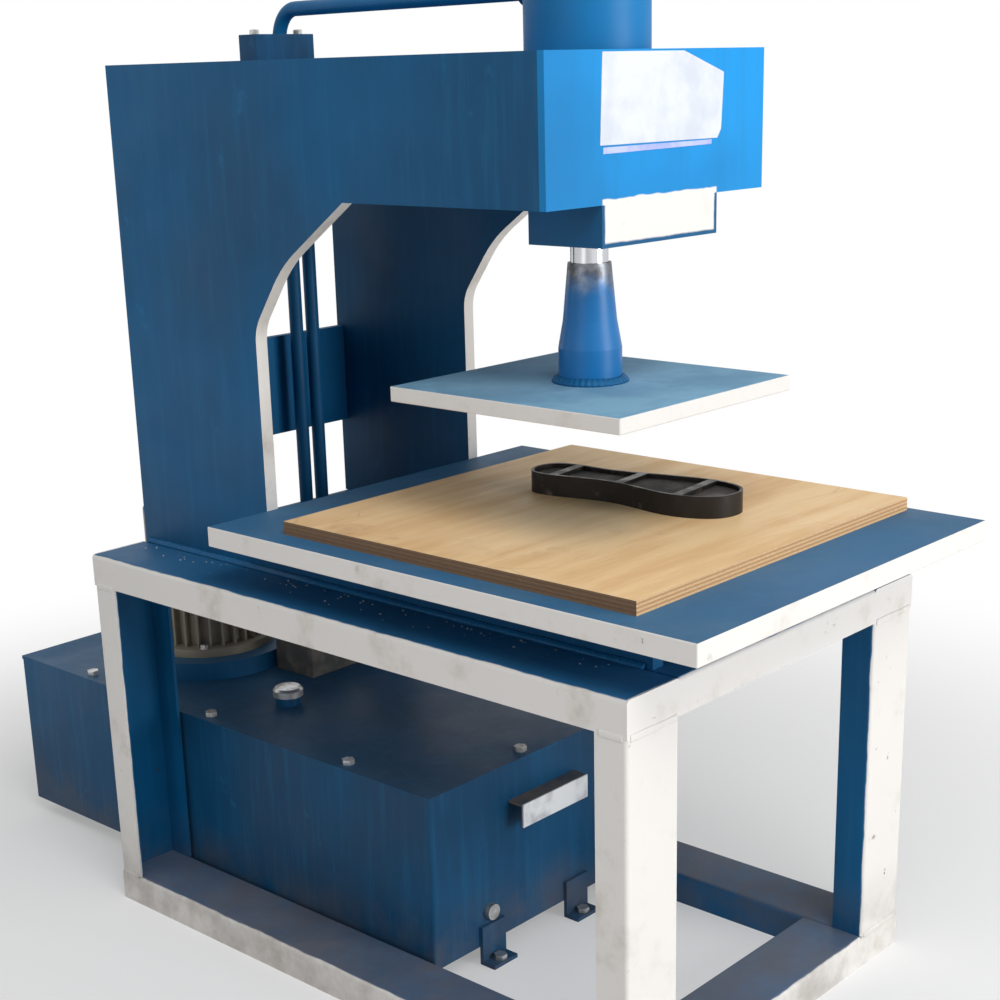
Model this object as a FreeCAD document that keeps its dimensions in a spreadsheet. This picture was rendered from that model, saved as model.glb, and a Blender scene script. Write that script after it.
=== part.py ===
import FreeCAD, Part
import math
import os
import Sketcher
from FreeCAD import Placement, Rotation, Vector

# Die cutting press: a welded channel table carries a C-shaped plate frame; a
# hydraulic ram in its head drives a square platen onto a loose sole die that
# lies on a plywood cutting board. The oil tank with pump and motor stands
# under and behind the table. Millimetres, +Z up, +Y to the back of the press.
# The origin is on the floor, under the middle of the overall size.

SIZES = [
    # welded table of folded channel
    ("table_width", 642, "over the outer faces of the legs"),
    ("table_depth", 1016, "front face to back face"),
    ("origin_to_front", 673, "origin forward to the table's front face"),
    ("channel_web", 100, "channel, width over the flanges"),
    ("channel_flange", 48, "channel, height of the flanges"),
    ("channel_wall", 5, "channel, sheet thickness"),
    ("channel_corner", 6, "channel, outer bend radius"),
    ("leg_length", 472, "leg between floor rail and top rail"),
    ("table_plate", 8, "plate let in between the top rails"),
    # C-frame of two cut plates
    ("frame_width", 440, "over both side plates"),
    ("frame_plate", 20, "side plate thickness"),
    ("frame_back", 1016, "table front to the plates' back edge"),
    ("throat_edge", 724, "table front to the upright edge of the throat"),
    ("arm_height", 62, "lower arm of the side plate under the bed"),
    ("arm_front", 40, "table front to the tip of the lower arm"),
    ("head_under", 523, "table top to the underside of the head"),
    ("head_height", 177, "height of the box head"),
    ("head_front", 194, "table front to the head's front face"),
    ("head_plate", 10, "plates that close the head"),
    ("throat_slope_run", 188, "throat edge forward to the slope's upper end"),
    ("throat_knee_run", 63, "throat edge forward to the knee of the slope"),
    ("throat_knee_drop", 87, "head underside down to the knee"),
    ("throat_corner_drop", 175, "head underside down to the throat corner"),
    ("throat_corner_radius", 60, "rounding of the throat corner"),
    ("throat_knee_radius", 190, "rounding of the knee"),
    ("plate_chamfer", 1, "broken edge of the thick plates"),
    ("cross_thick", 12, "cross plate between the side plates"),
    ("cross_height", 157, "cross plate, height"),
    ("cross_rise", 124, "table top to the cross plate's lower edge"),
    ("cross_inset", 2, "cross plate in from the plates' back edge"),
    # bed, board and die
    ("bed_overhang", 101, "bed plate in front of the table"),
    ("bed_side", 7, "bed plate beyond each side of the table"),
    ("bed_thick", 28, "bed plate thickness"),
    ("board_width", 605, "plywood board, side to side"),
    ("board_depth", 597, "plywood board, front to back"),
    ("board_thick", 18, "plywood board thickness"),
    ("board_front", 10, "table front to the board's front edge"),
    ("board_shift", 12, "board to the right of the middle"),
    ("die_length", 325, "sole die, heel to toe"),
    ("die_width", 104, "sole die, over the ball of the foot"),
    ("die_height", 30, "sole die, height of the knife band"),
    ("die_wall", 4, "knife band thickness"),
    ("die_pad_height", 24, "ejector pad inside the band"),
    ("die_pad_gap", 0.5, "ejector pad to the band"),
    ("die_bar_width", 14, "brace across the band"),
    ("die_bar_height", 5, "brace height"),
    ("die_x", 81, "middle of the die, right of the middle"),
    ("die_front", 302, "table front to the middle of the die"),
    ("die_turn", 5.8, "die turned from straight, degrees"),
    # ram and cylinder
    ("ram_axis", 310, "table front to the ram axis"),
    ("daylight", 157, "board top to the platen at rest"),
    ("platen_width", 364, "platen, side to side"),
    ("platen_depth", 385, "platen, front to back"),
    ("platen_thick", 20, "platen thickness"),
    ("boss_foot_dia", 84, "ram boss, straight foot"),
    ("boss_foot_height", 45, "ram boss, height of the foot"),
    ("boss_mid_dia", 71, "ram boss, end of the first taper"),
    ("boss_mid_height", 81, "ram boss, height of the first taper's end"),
    ("boss_top_dia", 57, "ram boss, top"),
    ("boss_height", 155, "ram boss, full height"),
    ("rod_dia", 50, "chromed ram rod"),
    ("rod_socket", 70, "rod let into the boss"),
    ("rod_fit", 0.05, "rod to bush and wiper, each side"),
    ("rod_spigot_dia", 36, "rod spigot in the piston"),
    ("bush_wall", 6, "guide bush wall"),
    ("wiper_height", 8, "wiper ring height"),
    ("wiper_wall", 9, "wiper ring wall"),
    ("gland_width", 235, "gland block, side to side"),
    ("gland_depth", 117, "gland block, front to back"),
    ("gland_height", 51, "gland block, height below the head"),
    ("gland_boss_dia", 136, "round of the gland block about the rod"),
    ("barrel_dia", 160, "cylinder barrel, outside"),
    ("barrel_bore", 130, "cylinder barrel, bore"),
    ("barrel_length", 290, "cylinder barrel length"),
    ("barrel_hole_gap", 0.5, "barrel to the head plates, each side"),
    ("cap_thick", 25, "cylinder cap"),
    ("cap_spigot", 12, "cap spigot in the bore"),
    ("piston_rise", 175, "gland top to the piston at rest"),
    ("piston_thick", 45, "piston height"),
    ("piston_gap", 0.4, "piston to the bore, each side"),
    ("seal_width", 10, "piston seal ring, height"),
    ("seal_depth", 6, "piston seal ring, depth of its groove"),
    ("seal_fit", 0.05, "seal to the bore, each side"),
    ("rod_port_rise", 29, "gland top to the rod-end port"),
    ("cap_port_rise", 252, "gland top to the cap-end port"),
    # pipes
    ("pipe_dia", 21.3, "steel pipe, outside"),
    ("pipe_wall", 2.6, "steel pipe wall"),
    ("pipe_bend", 45, "bend radius on the pipe's middle line"),
    ("pipe_hole_gap", 2, "pipe to the holes it passes, each side"),
    ("cap_pipe_x", 70, "cap-end pipe, right of the middle"),
    ("rod_pipe_x", 104, "rod-end pipe, right of the middle"),
    ("pipe_line", 46, "table back forward to the upright pipes"),
    ("union_dia", 36, "port union, outside"),
    ("union_length", 30, "port union beyond the barrel"),
    ("nut_height", 16, "pipe nut on the valve block"),
    ("nut_flats", 30, "pipe nut across flats"),
    ("clamp_width", 114, "pipe clamp on the head, side to side"),
    ("clamp_depth", 42, "pipe clamp, front to back"),
    ("clamp_height", 40, "pipe clamp, height"),
    ("clamp_shift", 64, "pipe clamp, right of the middle"),
    ("valve_width", 130, "valve block, side to side"),
    ("valve_depth", 90, "valve block, front to back"),
    ("valve_height", 60, "valve block, height"),
    # oil tank
    ("tank_side_gap", 7.5, "tank to the floor rails, each side"),
    ("tank_length", 990, "tank, front to back"),
    ("tank_back", 403, "table back out to the tank's back face"),
    ("tank_lift", 28, "floor to the tank's underside"),
    ("tank_height", 259, "tank body height"),
    ("tank_wall", 4, "tank sheet thickness"),
    ("tank_corner", 4, "rounding of the tank's upright edges"),
    ("lid_thick", 6, "tank lid thickness"),
    ("lid_bolt_inset", 20, "lid bolts in from the edge"),
    ("lid_bolt_pitch", 313, "lid bolts along the sides"),
    ("bolt_flats", 17, "hex heads across flats"),
    ("bolt_head", 7, "hex head height"),
    ("filler_x", 80, "oil filler, left of the middle"),
    ("filler_line", 290, "motor axis forward to the oil filler"),
    ("filler_dia", 40, "filler neck, outside"),
    ("filler_height", 14, "filler neck, height"),
    ("filler_cap_dia", 48, "filler cap"),
    ("filler_cap_height", 14, "filler cap, height"),
    ("handle_width", 146, "pull handle, side to side"),
    ("handle_reach", 28, "pull handle, out from the tank"),
    ("handle_drop", 36, "pull handle, height of its front leaf"),
    ("handle_wall", 4, "pull handle, thickness"),
    ("handle_top", 236, "floor to the handle's top"),
    ("handle_shift", 23, "pull handle, right of the middle"),
    ("foot_width", 50, "angle foot, side to side"),
    ("foot_reach", 28, "angle foot, out from the tank"),
    ("foot_rise", 60, "angle foot, height on the tank"),
    ("foot_wall", 6, "angle foot, thickness"),
    ("foot_spread", 95, "angle feet, each side of the middle"),
    ("plug_dia", 24, "drain plug head"),
    ("plug_reach", 9, "drain plug, out from the tank"),
    ("plug_rise", 50, "tank underside to the drain plug"),
    ("plug_shift", 97, "drain plug, left of the middle"),
    # pump and motor
    ("motor_line", 144, "table back out to the motor axis"),
    ("ring_dia", 280, "motor adaptor ring"),
    ("ring_height", 30, "motor adaptor ring, height"),
    ("ring_bore", 130, "motor adaptor ring, bore"),
    ("flange_dia", 220, "motor flange"),
    ("flange_thick", 14, "motor flange thickness"),
    ("motor_dia", 190, "over the cooling fins"),
    ("motor_shell_dia", 160, "motor shell under the fins"),
    ("motor_bore", 124, "motor shell, bore"),
    ("motor_height", 175, "flange to the end shield"),
    ("fin_thick", 4, "cooling fin"),
    ("fin_count", 28, "cooling fins round the shell"),
    ("shield_thick", 14, "motor end shield"),
    ("shaft_dia", 24, "motor shaft"),
    ("shaft_fit", 0.05, "shaft to its bearings, each side"),
    ("rotor_dia", 120, "rotor core"),
    ("rotor_height", 110, "rotor core, height"),
    ("rotor_rise", 30, "flange underside to the rotor core"),
    ("fan_dia", 150, "cooling fan"),
    ("fan_height", 24, "cooling fan, height"),
    ("fan_plate", 4, "cooling fan, back plate"),
    ("fan_blades", 8, "cooling fan, blades"),
    ("fan_gap", 6, "end shield to the fan"),
    ("cowl_wall", 2, "fan cowl, sheet"),
    ("cowl_height", 62, "fan cowl, height above the end shield's foot"),
    ("cowl_slots", 16, "air slots in the cowl's top"),
    ("box_width", 90, "terminal box, side to side"),
    ("box_reach", 48, "terminal box, out from its pad"),
    ("box_height", 70, "terminal box, height"),
    ("box_pad_reach", 102, "motor axis to the terminal box"),
    ("gland_nut_dia", 22, "cable gland on the terminal box"),
    ("gland_nut_length", 18, "cable gland, length"),
    ("bell_dia", 124, "pump bell under the lid"),
    ("bell_wall", 8, "pump bell wall"),
    ("bell_height", 96, "pump bell, height"),
    ("bell_flange", 160, "pump bell, flange"),
    ("coupling_dia", 52, "shaft coupling"),
    ("coupling_height", 56, "shaft coupling, height"),
    ("pump_width", 90, "gear pump, square body"),
    ("pump_height", 78, "gear pump, height"),
    ("strainer_dia", 64, "suction strainer"),
    ("strainer_height", 50, "suction strainer, height"),
]

os.makedirs("parts", exist_ok=True)
doc = FreeCAD.newDocument("die_cutting_press")
sheet = doc.addObject("Spreadsheet::Sheet", "dims")
for row, (alias, number, note) in enumerate(SIZES, start=1):
    sheet.set(f"A{row}", alias)
    sheet.set(f"B{row}", str(number))
    sheet.setAlias(f"B{row}", alias)
    sheet.set(f"C{row}", note)
doc.recompute()


class Size:
    """A length that keeps its sheet formula beside its present value."""

    def __init__(self, text, value):
        self.text = text
        self.value = value

    def __add__(self, other):
        other = as_size(other)
        return Size(f"({self.text} + {other.text})", self.value + other.value)

    def __sub__(self, other):
        other = as_size(other)
        return Size(f"({self.text} - {other.text})", self.value - other.value)

    def __mul__(self, other):
        other = as_size(other)
        return Size(f"({self.text} * {other.text})", self.value * other.value)

    def __truediv__(self, other):
        other = as_size(other)
        return Size(f"({self.text} / {other.text})", self.value / other.value)

    def __radd__(self, other):
        return as_size(other) + self

    def __rsub__(self, other):
        return as_size(other) - self

    def __rmul__(self, other):
        return as_size(other) * self

    def __neg__(self):
        return Size(f"(0 - {self.text})", -self.value)


def as_size(number):
    return number if isinstance(number, Size) else Size(str(number), float(number))


def named(alias):
    return Size(f"dims.{alias}", float(getattr(sheet, alias)))


def hypotenuse(a, b):
    return Size(f"sqrt({a.text} ^ 2 + {b.text} ^ 2)", math.hypot(a.value, b.value))


def direction(across, along):
    """Angle in degrees of the line that goes `along` +Y and `across` +X."""
    turn = math.degrees(math.atan2(along.value, across.value))
    return Size(f"atan2({along.text}; {across.text})", turn)


class Dims:
    """Every named value of the sheet, as an attribute."""


d = Dims()
for alias, _, _ in SIZES:
    setattr(d, alias, named(alias))

nodes = []


def bind(obj, path, size):
    obj.setExpression(path, as_size(size).text)


def place(obj, x=0, y=0, z=0, turn=None):
    sizes = [as_size(s) for s in (x, y, z)]
    rotation = Rotation(Vector(0, 0, 1), turn.value if turn else 0)
    obj.Placement = Placement(Vector(*[s.value for s in sizes]), rotation)
    for axis, size in zip("xyz", sizes):
        bind(obj, f"Placement.Base.{axis}", size)
    if turn:
        bind(obj, "Placement.Rotation.Angle", turn)
    return obj


def new_body(label, x=0, y=0, z=0, turn=None):
    body = doc.addObject("PartDesign::Body", label)
    body.Label = label
    place(body, x, y, z, turn)
    nodes.append(body)
    return body


def fix_point(sk, geo, pos, point):
    for kind, size in zip(("DistanceX", "DistanceY"), point):
        size = as_size(size)
        index = sk.addConstraint(Sketcher.Constraint(kind, -1, 1, geo, pos, size.value))
        bind(sk, f"Constraints[{index}]", size)


def new_sketch(body, name, role, offset=0):
    plane = [f for f in body.Origin.OriginFeatures if f.Role == role][0]
    sk = body.newObject("Sketcher::SketchObject", name)
    sk.AttachmentSupport = [(plane, "")]
    sk.MapMode = "FlatFace"
    offset = as_size(offset)
    sk.AttachmentOffset = Placement(Vector(0, 0, offset.value), Rotation())
    bind(sk, "AttachmentOffset.Base.z", offset)
    return sk


def add_polygon(sk, points):
    flat = [Vector(as_size(x).value, as_size(y).value, 0) for x, y in points]
    lines = [Part.LineSegment(a, b) for a, b in zip(flat, flat[1:] + flat[:1])]
    first = sk.addGeometry(lines, False)[0]
    for i, point in enumerate(points):
        previous = first + (i - 1) % len(points)
        sk.addConstraint(Sketcher.Constraint("Coincident", previous, 2, first + i, 1))
        fix_point(sk, first + i, 1, point)


def add_rectangle(sk, width, depth, x=0, y=0):
    left = as_size(x) - width / 2
    right = as_size(x) + width / 2
    low = as_size(y) - depth / 2
    high = as_size(y) + depth / 2
    add_polygon(sk, [(left, low), (right, low), (right, high), (left, high)])


def add_circle(sk, dia, x=0, y=0):
    centre = Vector(as_size(x).value, as_size(y).value, 0)
    geo = sk.addGeometry(Part.Circle(centre, Vector(0, 0, 1), dia.value / 2), False)
    fix_point(sk, geo, 3, (x, y))
    index = sk.addConstraint(Sketcher.Constraint("Diameter", geo, dia.value))
    bind(sk, f"Constraints[{index}]", dia)


def pad(body, sk, length, reverse=False):
    feature = body.newObject("PartDesign::Pad", sk.Name + "_pad")
    feature.Profile = sk
    bind(feature, "Length", length)
    feature.Reversed = reverse
    sk.Visibility = False
    return feature


def cut(body, sk, length=None, reverse=False):
    feature = body.newObject("PartDesign::Pocket", sk.Name + "_cut")
    feature.Profile = sk
    feature.Reversed = reverse
    if length is None:
        feature.Type = "ThroughAll"
    else:
        bind(feature, "Length", length)
    return feature


def turned(label, profile, x=0, y=0, z=0):
    """A piece turned about its own Z from (radius, height) points."""
    body = new_body(label, x, y, z)
    sk = new_sketch(body, label + "_profile", "XZ_Plane")
    add_polygon(sk, profile)
    feature = body.newObject("PartDesign::Revolution", label + "_turned")
    feature.Profile = sk
    feature.ReferenceAxis = (sk, ["V_Axis"])
    feature.Angle = 360
    return body


def edges_at(feature, points):
    """Names of the edges that pass through the given points."""
    doc.recompute()
    spots = [Part.Vertex(Vector(*point)) for point in points]
    return [
        f"Edge{i}"
        for i, edge in enumerate(feature.Shape.Edges, start=1)
        if any(edge.distToShape(spot)[0] < 0.01 for spot in spots)
    ]


def soften(body, feature, kind, size, points=None):
    """Round (Fillet) or break (Chamfer) some edges, or all of them."""
    ease = body.newObject("PartDesign::" + kind, f"{feature.Name}_{kind}")
    if points is None:
        ease.Base = (feature, [])
        ease.UseAllEdges = True
    else:
        ease.Base = (feature, edges_at(feature, points))
    bind(ease, "Radius" if kind == "Fillet" else "Size", size)
    body.Tip = ease
    return ease


def slab(label, width, depth, height, x, y, z, holes=(), chamfer=None):
    """A flat plate about its own middle, with round holes through it."""
    body = new_body(label, x, y, z)
    sk = new_sketch(body, label + "_outline", "XY_Plane")
    add_rectangle(sk, width, depth)
    feature = pad(body, sk, height)
    if chamfer:
        soften(body, feature, "Chamfer", chamfer)
    if holes:
        drill = new_sketch(body, label + "_holes", "XY_Plane", height)
        for dia, hole_x, hole_y in holes:
            add_circle(drill, dia, hole_x, hole_y)
        cut(body, drill)
    return body


def group(label, pieces):
    compound = doc.addObject("Part::Compound", label)
    compound.Label = label
    compound.Links = pieces
    nodes.append(compound)
    return compound


def hex_head(name, flats, height, x, y, z):
    head = doc.addObject("Part::Prism", name)
    head.Polygon = 6
    bind(head, "Circumradius", flats / math.sqrt(3))
    bind(head, "Height", height)
    return place(head, x, y, z)


def rod_piece(name, dia, length, x, y, z, axis=None):
    """A round bar; `axis` turns it from upright to level along that angle."""
    bar = doc.addObject("Part::Cylinder", name)
    bind(bar, "Radius", dia / 2)
    bind(bar, "Height", length)
    if axis is None:
        return place(bar, x, y, z)
    level = Rotation(Vector(0, 0, 1), axis.value) * Rotation(Vector(0, 1, 0), 90)
    bar.Placement = Placement(Vector(0, 0, 0), level)
    for letter, size in zip("xyz", (x, y, z)):
        bind(bar, f"Placement.Base.{letter}", size)
    return bar


def subtract(name, base, tools):
    for i, tool in enumerate(tools):
        result = doc.addObject("Part::Cut", f"{name}_{i}" if i < len(tools) - 1 else name)
        result.Base = base
        result.Tool = tool
        base = result
    return base


# Heights from the floor and lines from the table's front face.
front = -d.origin_to_front
table_mid = front + d.table_depth / 2
rail_x = (d.table_width - d.channel_web) / 2
inner_width = d.table_width - d.channel_web * 2
table_top = d.channel_flange * 2 + d.leg_length
bed_low = table_top + d.arm_height
bed_top = bed_low + d.bed_thick
board_top = bed_top + d.board_thick
platen_low = board_top + d.daylight
platen_top = platen_low + d.platen_thick
head_low = table_top + d.head_under
head_top = head_low + d.head_height
head_face = front + d.head_front
ram_y = front + d.ram_axis
pipe_y = front + d.table_depth - d.pipe_line
throat_y = front + d.throat_edge
back_y = front + d.frame_back


# Table: legs stand web outwards on the floor rails and carry the top rails.
def channel_leg(label, x, y, inward):
    body = new_body(label, x, y, d.channel_flange)
    half = d.channel_web / 2
    inner = half - d.channel_wall
    deep = d.channel_flange * inward
    wall = d.channel_wall * inward
    sk = new_sketch(body, label + "_section", "XY_Plane")
    add_polygon(sk, [
        (-half, 0), (half, 0), (half, deep), (inner, deep),
        (inner, wall), (-inner, wall), (-inner, deep), (-half, deep),
    ])
    feature = pad(body, sk, d.leg_length)
    middle = d.leg_length.value / 2
    corners = [(half.value, 0, middle), (-half.value, 0, middle)]
    soften(body, feature, "Fillet", d.channel_corner, corners)


def channel_rail(label, length, x, y, z, along_x, holes=()):
    """A rail with its web on top, from (x, y) along +Y or +X."""
    body = new_body(label, x, y, z)
    half = d.channel_web / 2
    inner = half - d.channel_wall
    under = d.channel_flange - d.channel_wall
    sk = new_sketch(body, label + "_section", "YZ_Plane" if along_x else "XZ_Plane")
    add_polygon(sk, [
        (-half, 0), (-inner, 0), (-inner, under), (inner, under),
        (inner, 0), (half, 0), (half, d.channel_flange), (-half, d.channel_flange),
    ])
    feature = pad(body, sk, length, reverse=not along_x)
    middle = length.value / 2
    high = d.channel_flange.value
    if along_x:
        corners = [(middle, half.value, high), (middle, -half.value, high)]
    else:
        corners = [(half.value, middle, high), (-half.value, middle, high)]
    soften(body, feature, "Fillet", d.channel_corner, corners)
    if holes:
        drill = new_sketch(body, label + "_holes", "XY_Plane", d.channel_flange)
        for dia, hole_x, hole_y in holes:
            add_circle(drill, dia, hole_x, hole_y)
        cut(body, drill)


pipe_hole = d.pipe_dia + d.pipe_hole_gap * 2
back_rail_y = front + d.table_depth - d.channel_web / 2
top_rail_z = table_top - d.channel_flange
for side, x in (("left", -rail_x), ("right", rail_x)):
    channel_leg(f"leg_front_{side}", x, front, 1)
    channel_leg(f"leg_back_{side}", x, front + d.table_depth, -1)
    channel_rail(f"floor_rail_{side}", d.table_depth, x, front, 0, False)
    channel_rail(f"top_rail_{side}", d.table_depth, x, front, top_rail_z, False)
front_rail_y = front + d.channel_web / 2
channel_rail("floor_rail_front", inner_width, -inner_width / 2, front_rail_y, 0, True)
channel_rail("top_rail_front", inner_width, -inner_width / 2, front_rail_y, top_rail_z, True)
pipe_holes = [
    (pipe_hole, x + inner_width / 2, pipe_y - back_rail_y)
    for x in (d.cap_pipe_x, d.rod_pipe_x)
]
channel_rail(
    "top_rail_back", inner_width, -inner_width / 2, back_rail_y, top_rail_z, True, pipe_holes
)
slab(
    "table_top", inner_width, d.table_depth - d.channel_web * 2, d.table_plate,
    0, table_mid, table_top - d.table_plate,
)


# C-frame: two cut plates with a lower arm, an upright and a head arm. The
# throat's upper corner is a slope with a rounded knee and a rounded corner.
plate_front = head_face + d.head_plate
arm_tip = front + d.arm_front
slope_top = (throat_y - d.throat_slope_run, head_low)
knee = (throat_y - d.throat_knee_run, head_low - d.throat_knee_drop)
corner = (throat_y, head_low - d.throat_corner_drop)
for side, x in (("left", -d.frame_width / 2), ("right", d.frame_width / 2 - d.frame_plate)):
    label = f"side_plate_{side}"
    plate = new_body(label, x, 0, 0)
    outline = new_sketch(plate, label + "_outline", "YZ_Plane")
    add_polygon(outline, [
        (arm_tip, table_top), (back_y, table_top), (back_y, head_top), (plate_front, head_top),
        (plate_front, head_low), slope_top, knee, corner,
        (throat_y, bed_low), (arm_tip, bed_low),
    ])
    feature = pad(plate, outline, d.frame_plate)
    mid = d.frame_plate.value / 2
    rounded = soften(
        plate, feature, "Fillet", d.throat_corner_radius,
        [(mid, corner[0].value, corner[1].value)],
    )
    soften(
        plate, rounded, "Fillet", d.throat_knee_radius,
        [(mid, knee[0].value, knee[1].value)],
    )

# Head: plates welded round the arm ends, bored for the cylinder and the pipe.
between = d.frame_width - d.frame_plate * 2
barrel_hole = d.barrel_dia + d.barrel_hole_gap * 2
slab("head_front_plate", d.frame_width, d.head_plate, d.head_height,
     0, head_face + d.head_plate / 2, head_low)
top_length = back_y - plate_front
top_mid = plate_front + top_length / 2
slab("head_top_plate", between, top_length, d.head_plate, 0, top_mid, head_top - d.head_plate,
     [(barrel_hole, 0, ram_y - top_mid), (pipe_hole, d.cap_pipe_x, pipe_y - top_mid)])
low_length = slope_top[0] - plate_front
low_mid = plate_front + low_length / 2
slab("head_bottom_plate", between, low_length, d.head_plate, 0, low_mid, head_low,
     [(barrel_hole, 0, ram_y - low_mid)])
slab("column_cross_plate", between, d.cross_thick, d.cross_height,
     0, back_y - d.cross_inset - d.cross_thick / 2, table_top + d.cross_rise)

# Bed: thick plate on the lower arms, its back edge against the throat edge.
bed_depth = d.throat_edge + d.bed_overhang
slab("bed_plate", d.table_width + d.bed_side * 2, bed_depth, d.bed_thick,
     0, throat_y - bed_depth / 2, bed_low, (), d.plate_chamfer)
slab("cutting_board", d.board_width, d.board_depth, d.board_thick,
     d.board_shift, front + d.board_front + d.board_depth / 2, bed_top)


# Sole die: a bent knife band with braces and an ejector pad, loose on the board.
def sole_solid(inset, height):
    """The sole outline, toe to the front, drawn in by `inset` and raised."""
    shares = [
        (0.00, -0.500), (0.30, -0.468), (0.47, -0.370), (0.50, -0.240), (0.44, -0.080),
        (0.36, 0.080), (0.34, 0.220), (0.37, 0.350), (0.30, 0.455), (0.00, 0.500),
        (-0.28, 0.460), (-0.35, 0.360), (-0.30, 0.220), (-0.27, 0.080), (-0.36, -0.080),
        (-0.47, -0.220), (-0.46, -0.360), (-0.30, -0.462),
    ]
    width, length = d.die_width.value, d.die_length.value
    curve = Part.BSplineCurve()
    curve.interpolate([Vector(x * width, y * length, 0) for x, y in shares], True)
    if inset:
        steps = 4 * len(shares)
        span = curve.LastParameter - curve.FirstParameter
        drawn_in = []
        for i in range(steps):
            spot = curve.FirstParameter + span * i / steps
            along = curve.tangent(spot)[0]
            drawn_in.append(curve.value(spot) + Vector(-along.y, along.x, 0) * inset)
        curve = Part.BSplineCurve()
        curve.interpolate(drawn_in, True)
    return Part.Face(Part.Wire(curve.toShape())).extrude(Vector(0, 0, height))


def die_piece(label, shape):
    piece = doc.addObject("Part::Feature", label)
    piece.Label = label
    piece.Shape = shape
    place(piece, d.die_x, front + d.die_front, board_top, d.die_turn)
    nodes.append(piece)


inner_solid = sole_solid(d.die_wall.value, d.die_height.value)
die_piece("sole_die", sole_solid(0, d.die_height.value).cut(inner_solid))
pad_inset = d.die_wall.value + d.die_pad_gap.value
die_piece("die_ejector_pad", sole_solid(pad_inset, d.die_pad_height.value))
bar_size = (d.die_width.value * 2, d.die_bar_width.value, d.die_bar_height.value)
bars = []
for share in (-0.30, 0.02, 0.34):
    start = Vector(
        -d.die_width.value,
        share * d.die_length.value - d.die_bar_width.value / 2,
        d.die_height.value - d.die_bar_height.value,
    )
    bars.append(Part.makeBox(*bar_size, start).common(inner_solid))
die_piece("die_braces", Part.makeCompound(bars))

# Ram: platen, tapered boss with a socket, chromed rod and piston with its seal.
slab("platen", d.platen_width, d.platen_depth, d.platen_thick, 0, ram_y, platen_low,
     (), d.plate_chamfer)
socket_low = d.boss_height - d.rod_socket
turned("ram_boss", [
    (0, 0), (d.boss_foot_dia / 2, 0), (d.boss_foot_dia / 2, d.boss_foot_height),
    (d.boss_mid_dia / 2, d.boss_mid_height), (d.boss_top_dia / 2, d.boss_height),
    (d.rod_dia / 2, d.boss_height), (d.rod_dia / 2, socket_low), (0, socket_low),
], 0, ram_y, platen_top)
gland_low = head_low - d.gland_height
rod_low = platen_top + socket_low
piston_low = head_low + d.piston_rise
rod_shoulder = piston_low - rod_low
rod_end = rod_shoulder + d.piston_thick
turned("ram_rod", [
    (0, 0), (d.rod_dia / 2, 0), (d.rod_dia / 2, rod_shoulder),
    (d.rod_spigot_dia / 2, rod_shoulder), (d.rod_spigot_dia / 2, rod_end), (0, rod_end),
], 0, ram_y, rod_low)
piston_r = d.barrel_bore / 2 - d.piston_gap
groove_r = d.barrel_bore / 2 - d.seal_depth
groove_low = (d.piston_thick - d.seal_width) / 2
groove_high = (d.piston_thick + d.seal_width) / 2
turned("piston", [
    (d.rod_spigot_dia / 2, 0), (piston_r, 0), (piston_r, groove_low), (groove_r, groove_low),
    (groove_r, groove_high), (piston_r, groove_high), (piston_r, d.piston_thick),
    (d.rod_spigot_dia / 2, d.piston_thick),
], 0, ram_y, piston_low)
seal_r = d.barrel_bore / 2 - d.seal_fit
turned("piston_seal", [
    (groove_r, 0), (seal_r, 0), (seal_r, d.seal_width), (groove_r, d.seal_width),
], 0, ram_y, piston_low + groove_low)

# Cylinder: gland block under the head with bush and wiper, barrel and cap.
bush_r = d.rod_dia / 2 + d.rod_fit
bush_outer = bush_r + d.bush_wall
wiper_outer = bush_r + d.wiper_wall
gland = new_body("gland_block", 0, ram_y, gland_low)
block = new_sketch(gland, "gland_block_outline", "XY_Plane")
add_rectangle(block, d.gland_width, d.gland_depth, 0, head_face - ram_y + d.gland_depth / 2)
pad(gland, block, d.gland_height)
round_sketch = new_sketch(gland, "gland_block_round", "XY_Plane")
add_circle(round_sketch, d.gland_boss_dia)
pad(gland, round_sketch, d.gland_height)
bush_bore = new_sketch(gland, "gland_block_bush_bore", "XY_Plane", d.gland_height)
add_circle(bush_bore, bush_outer * 2)
cut(gland, bush_bore)
wiper_bore = new_sketch(gland, "gland_block_wiper_bore", "XY_Plane", d.wiper_height)
add_circle(wiper_bore, wiper_outer * 2)
cut(gland, wiper_bore, d.wiper_height)
bush_height = d.gland_height - d.wiper_height
turned("rod_bush", [
    (bush_r, 0), (bush_outer, 0), (bush_outer, bush_height), (bush_r, bush_height),
], 0, ram_y, gland_low + d.wiper_height)
turned("rod_wiper", [
    (bush_r, 0), (wiper_outer, 0), (wiper_outer, d.wiper_height), (bush_r, d.wiper_height),
], 0, ram_y, gland_low)

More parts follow.
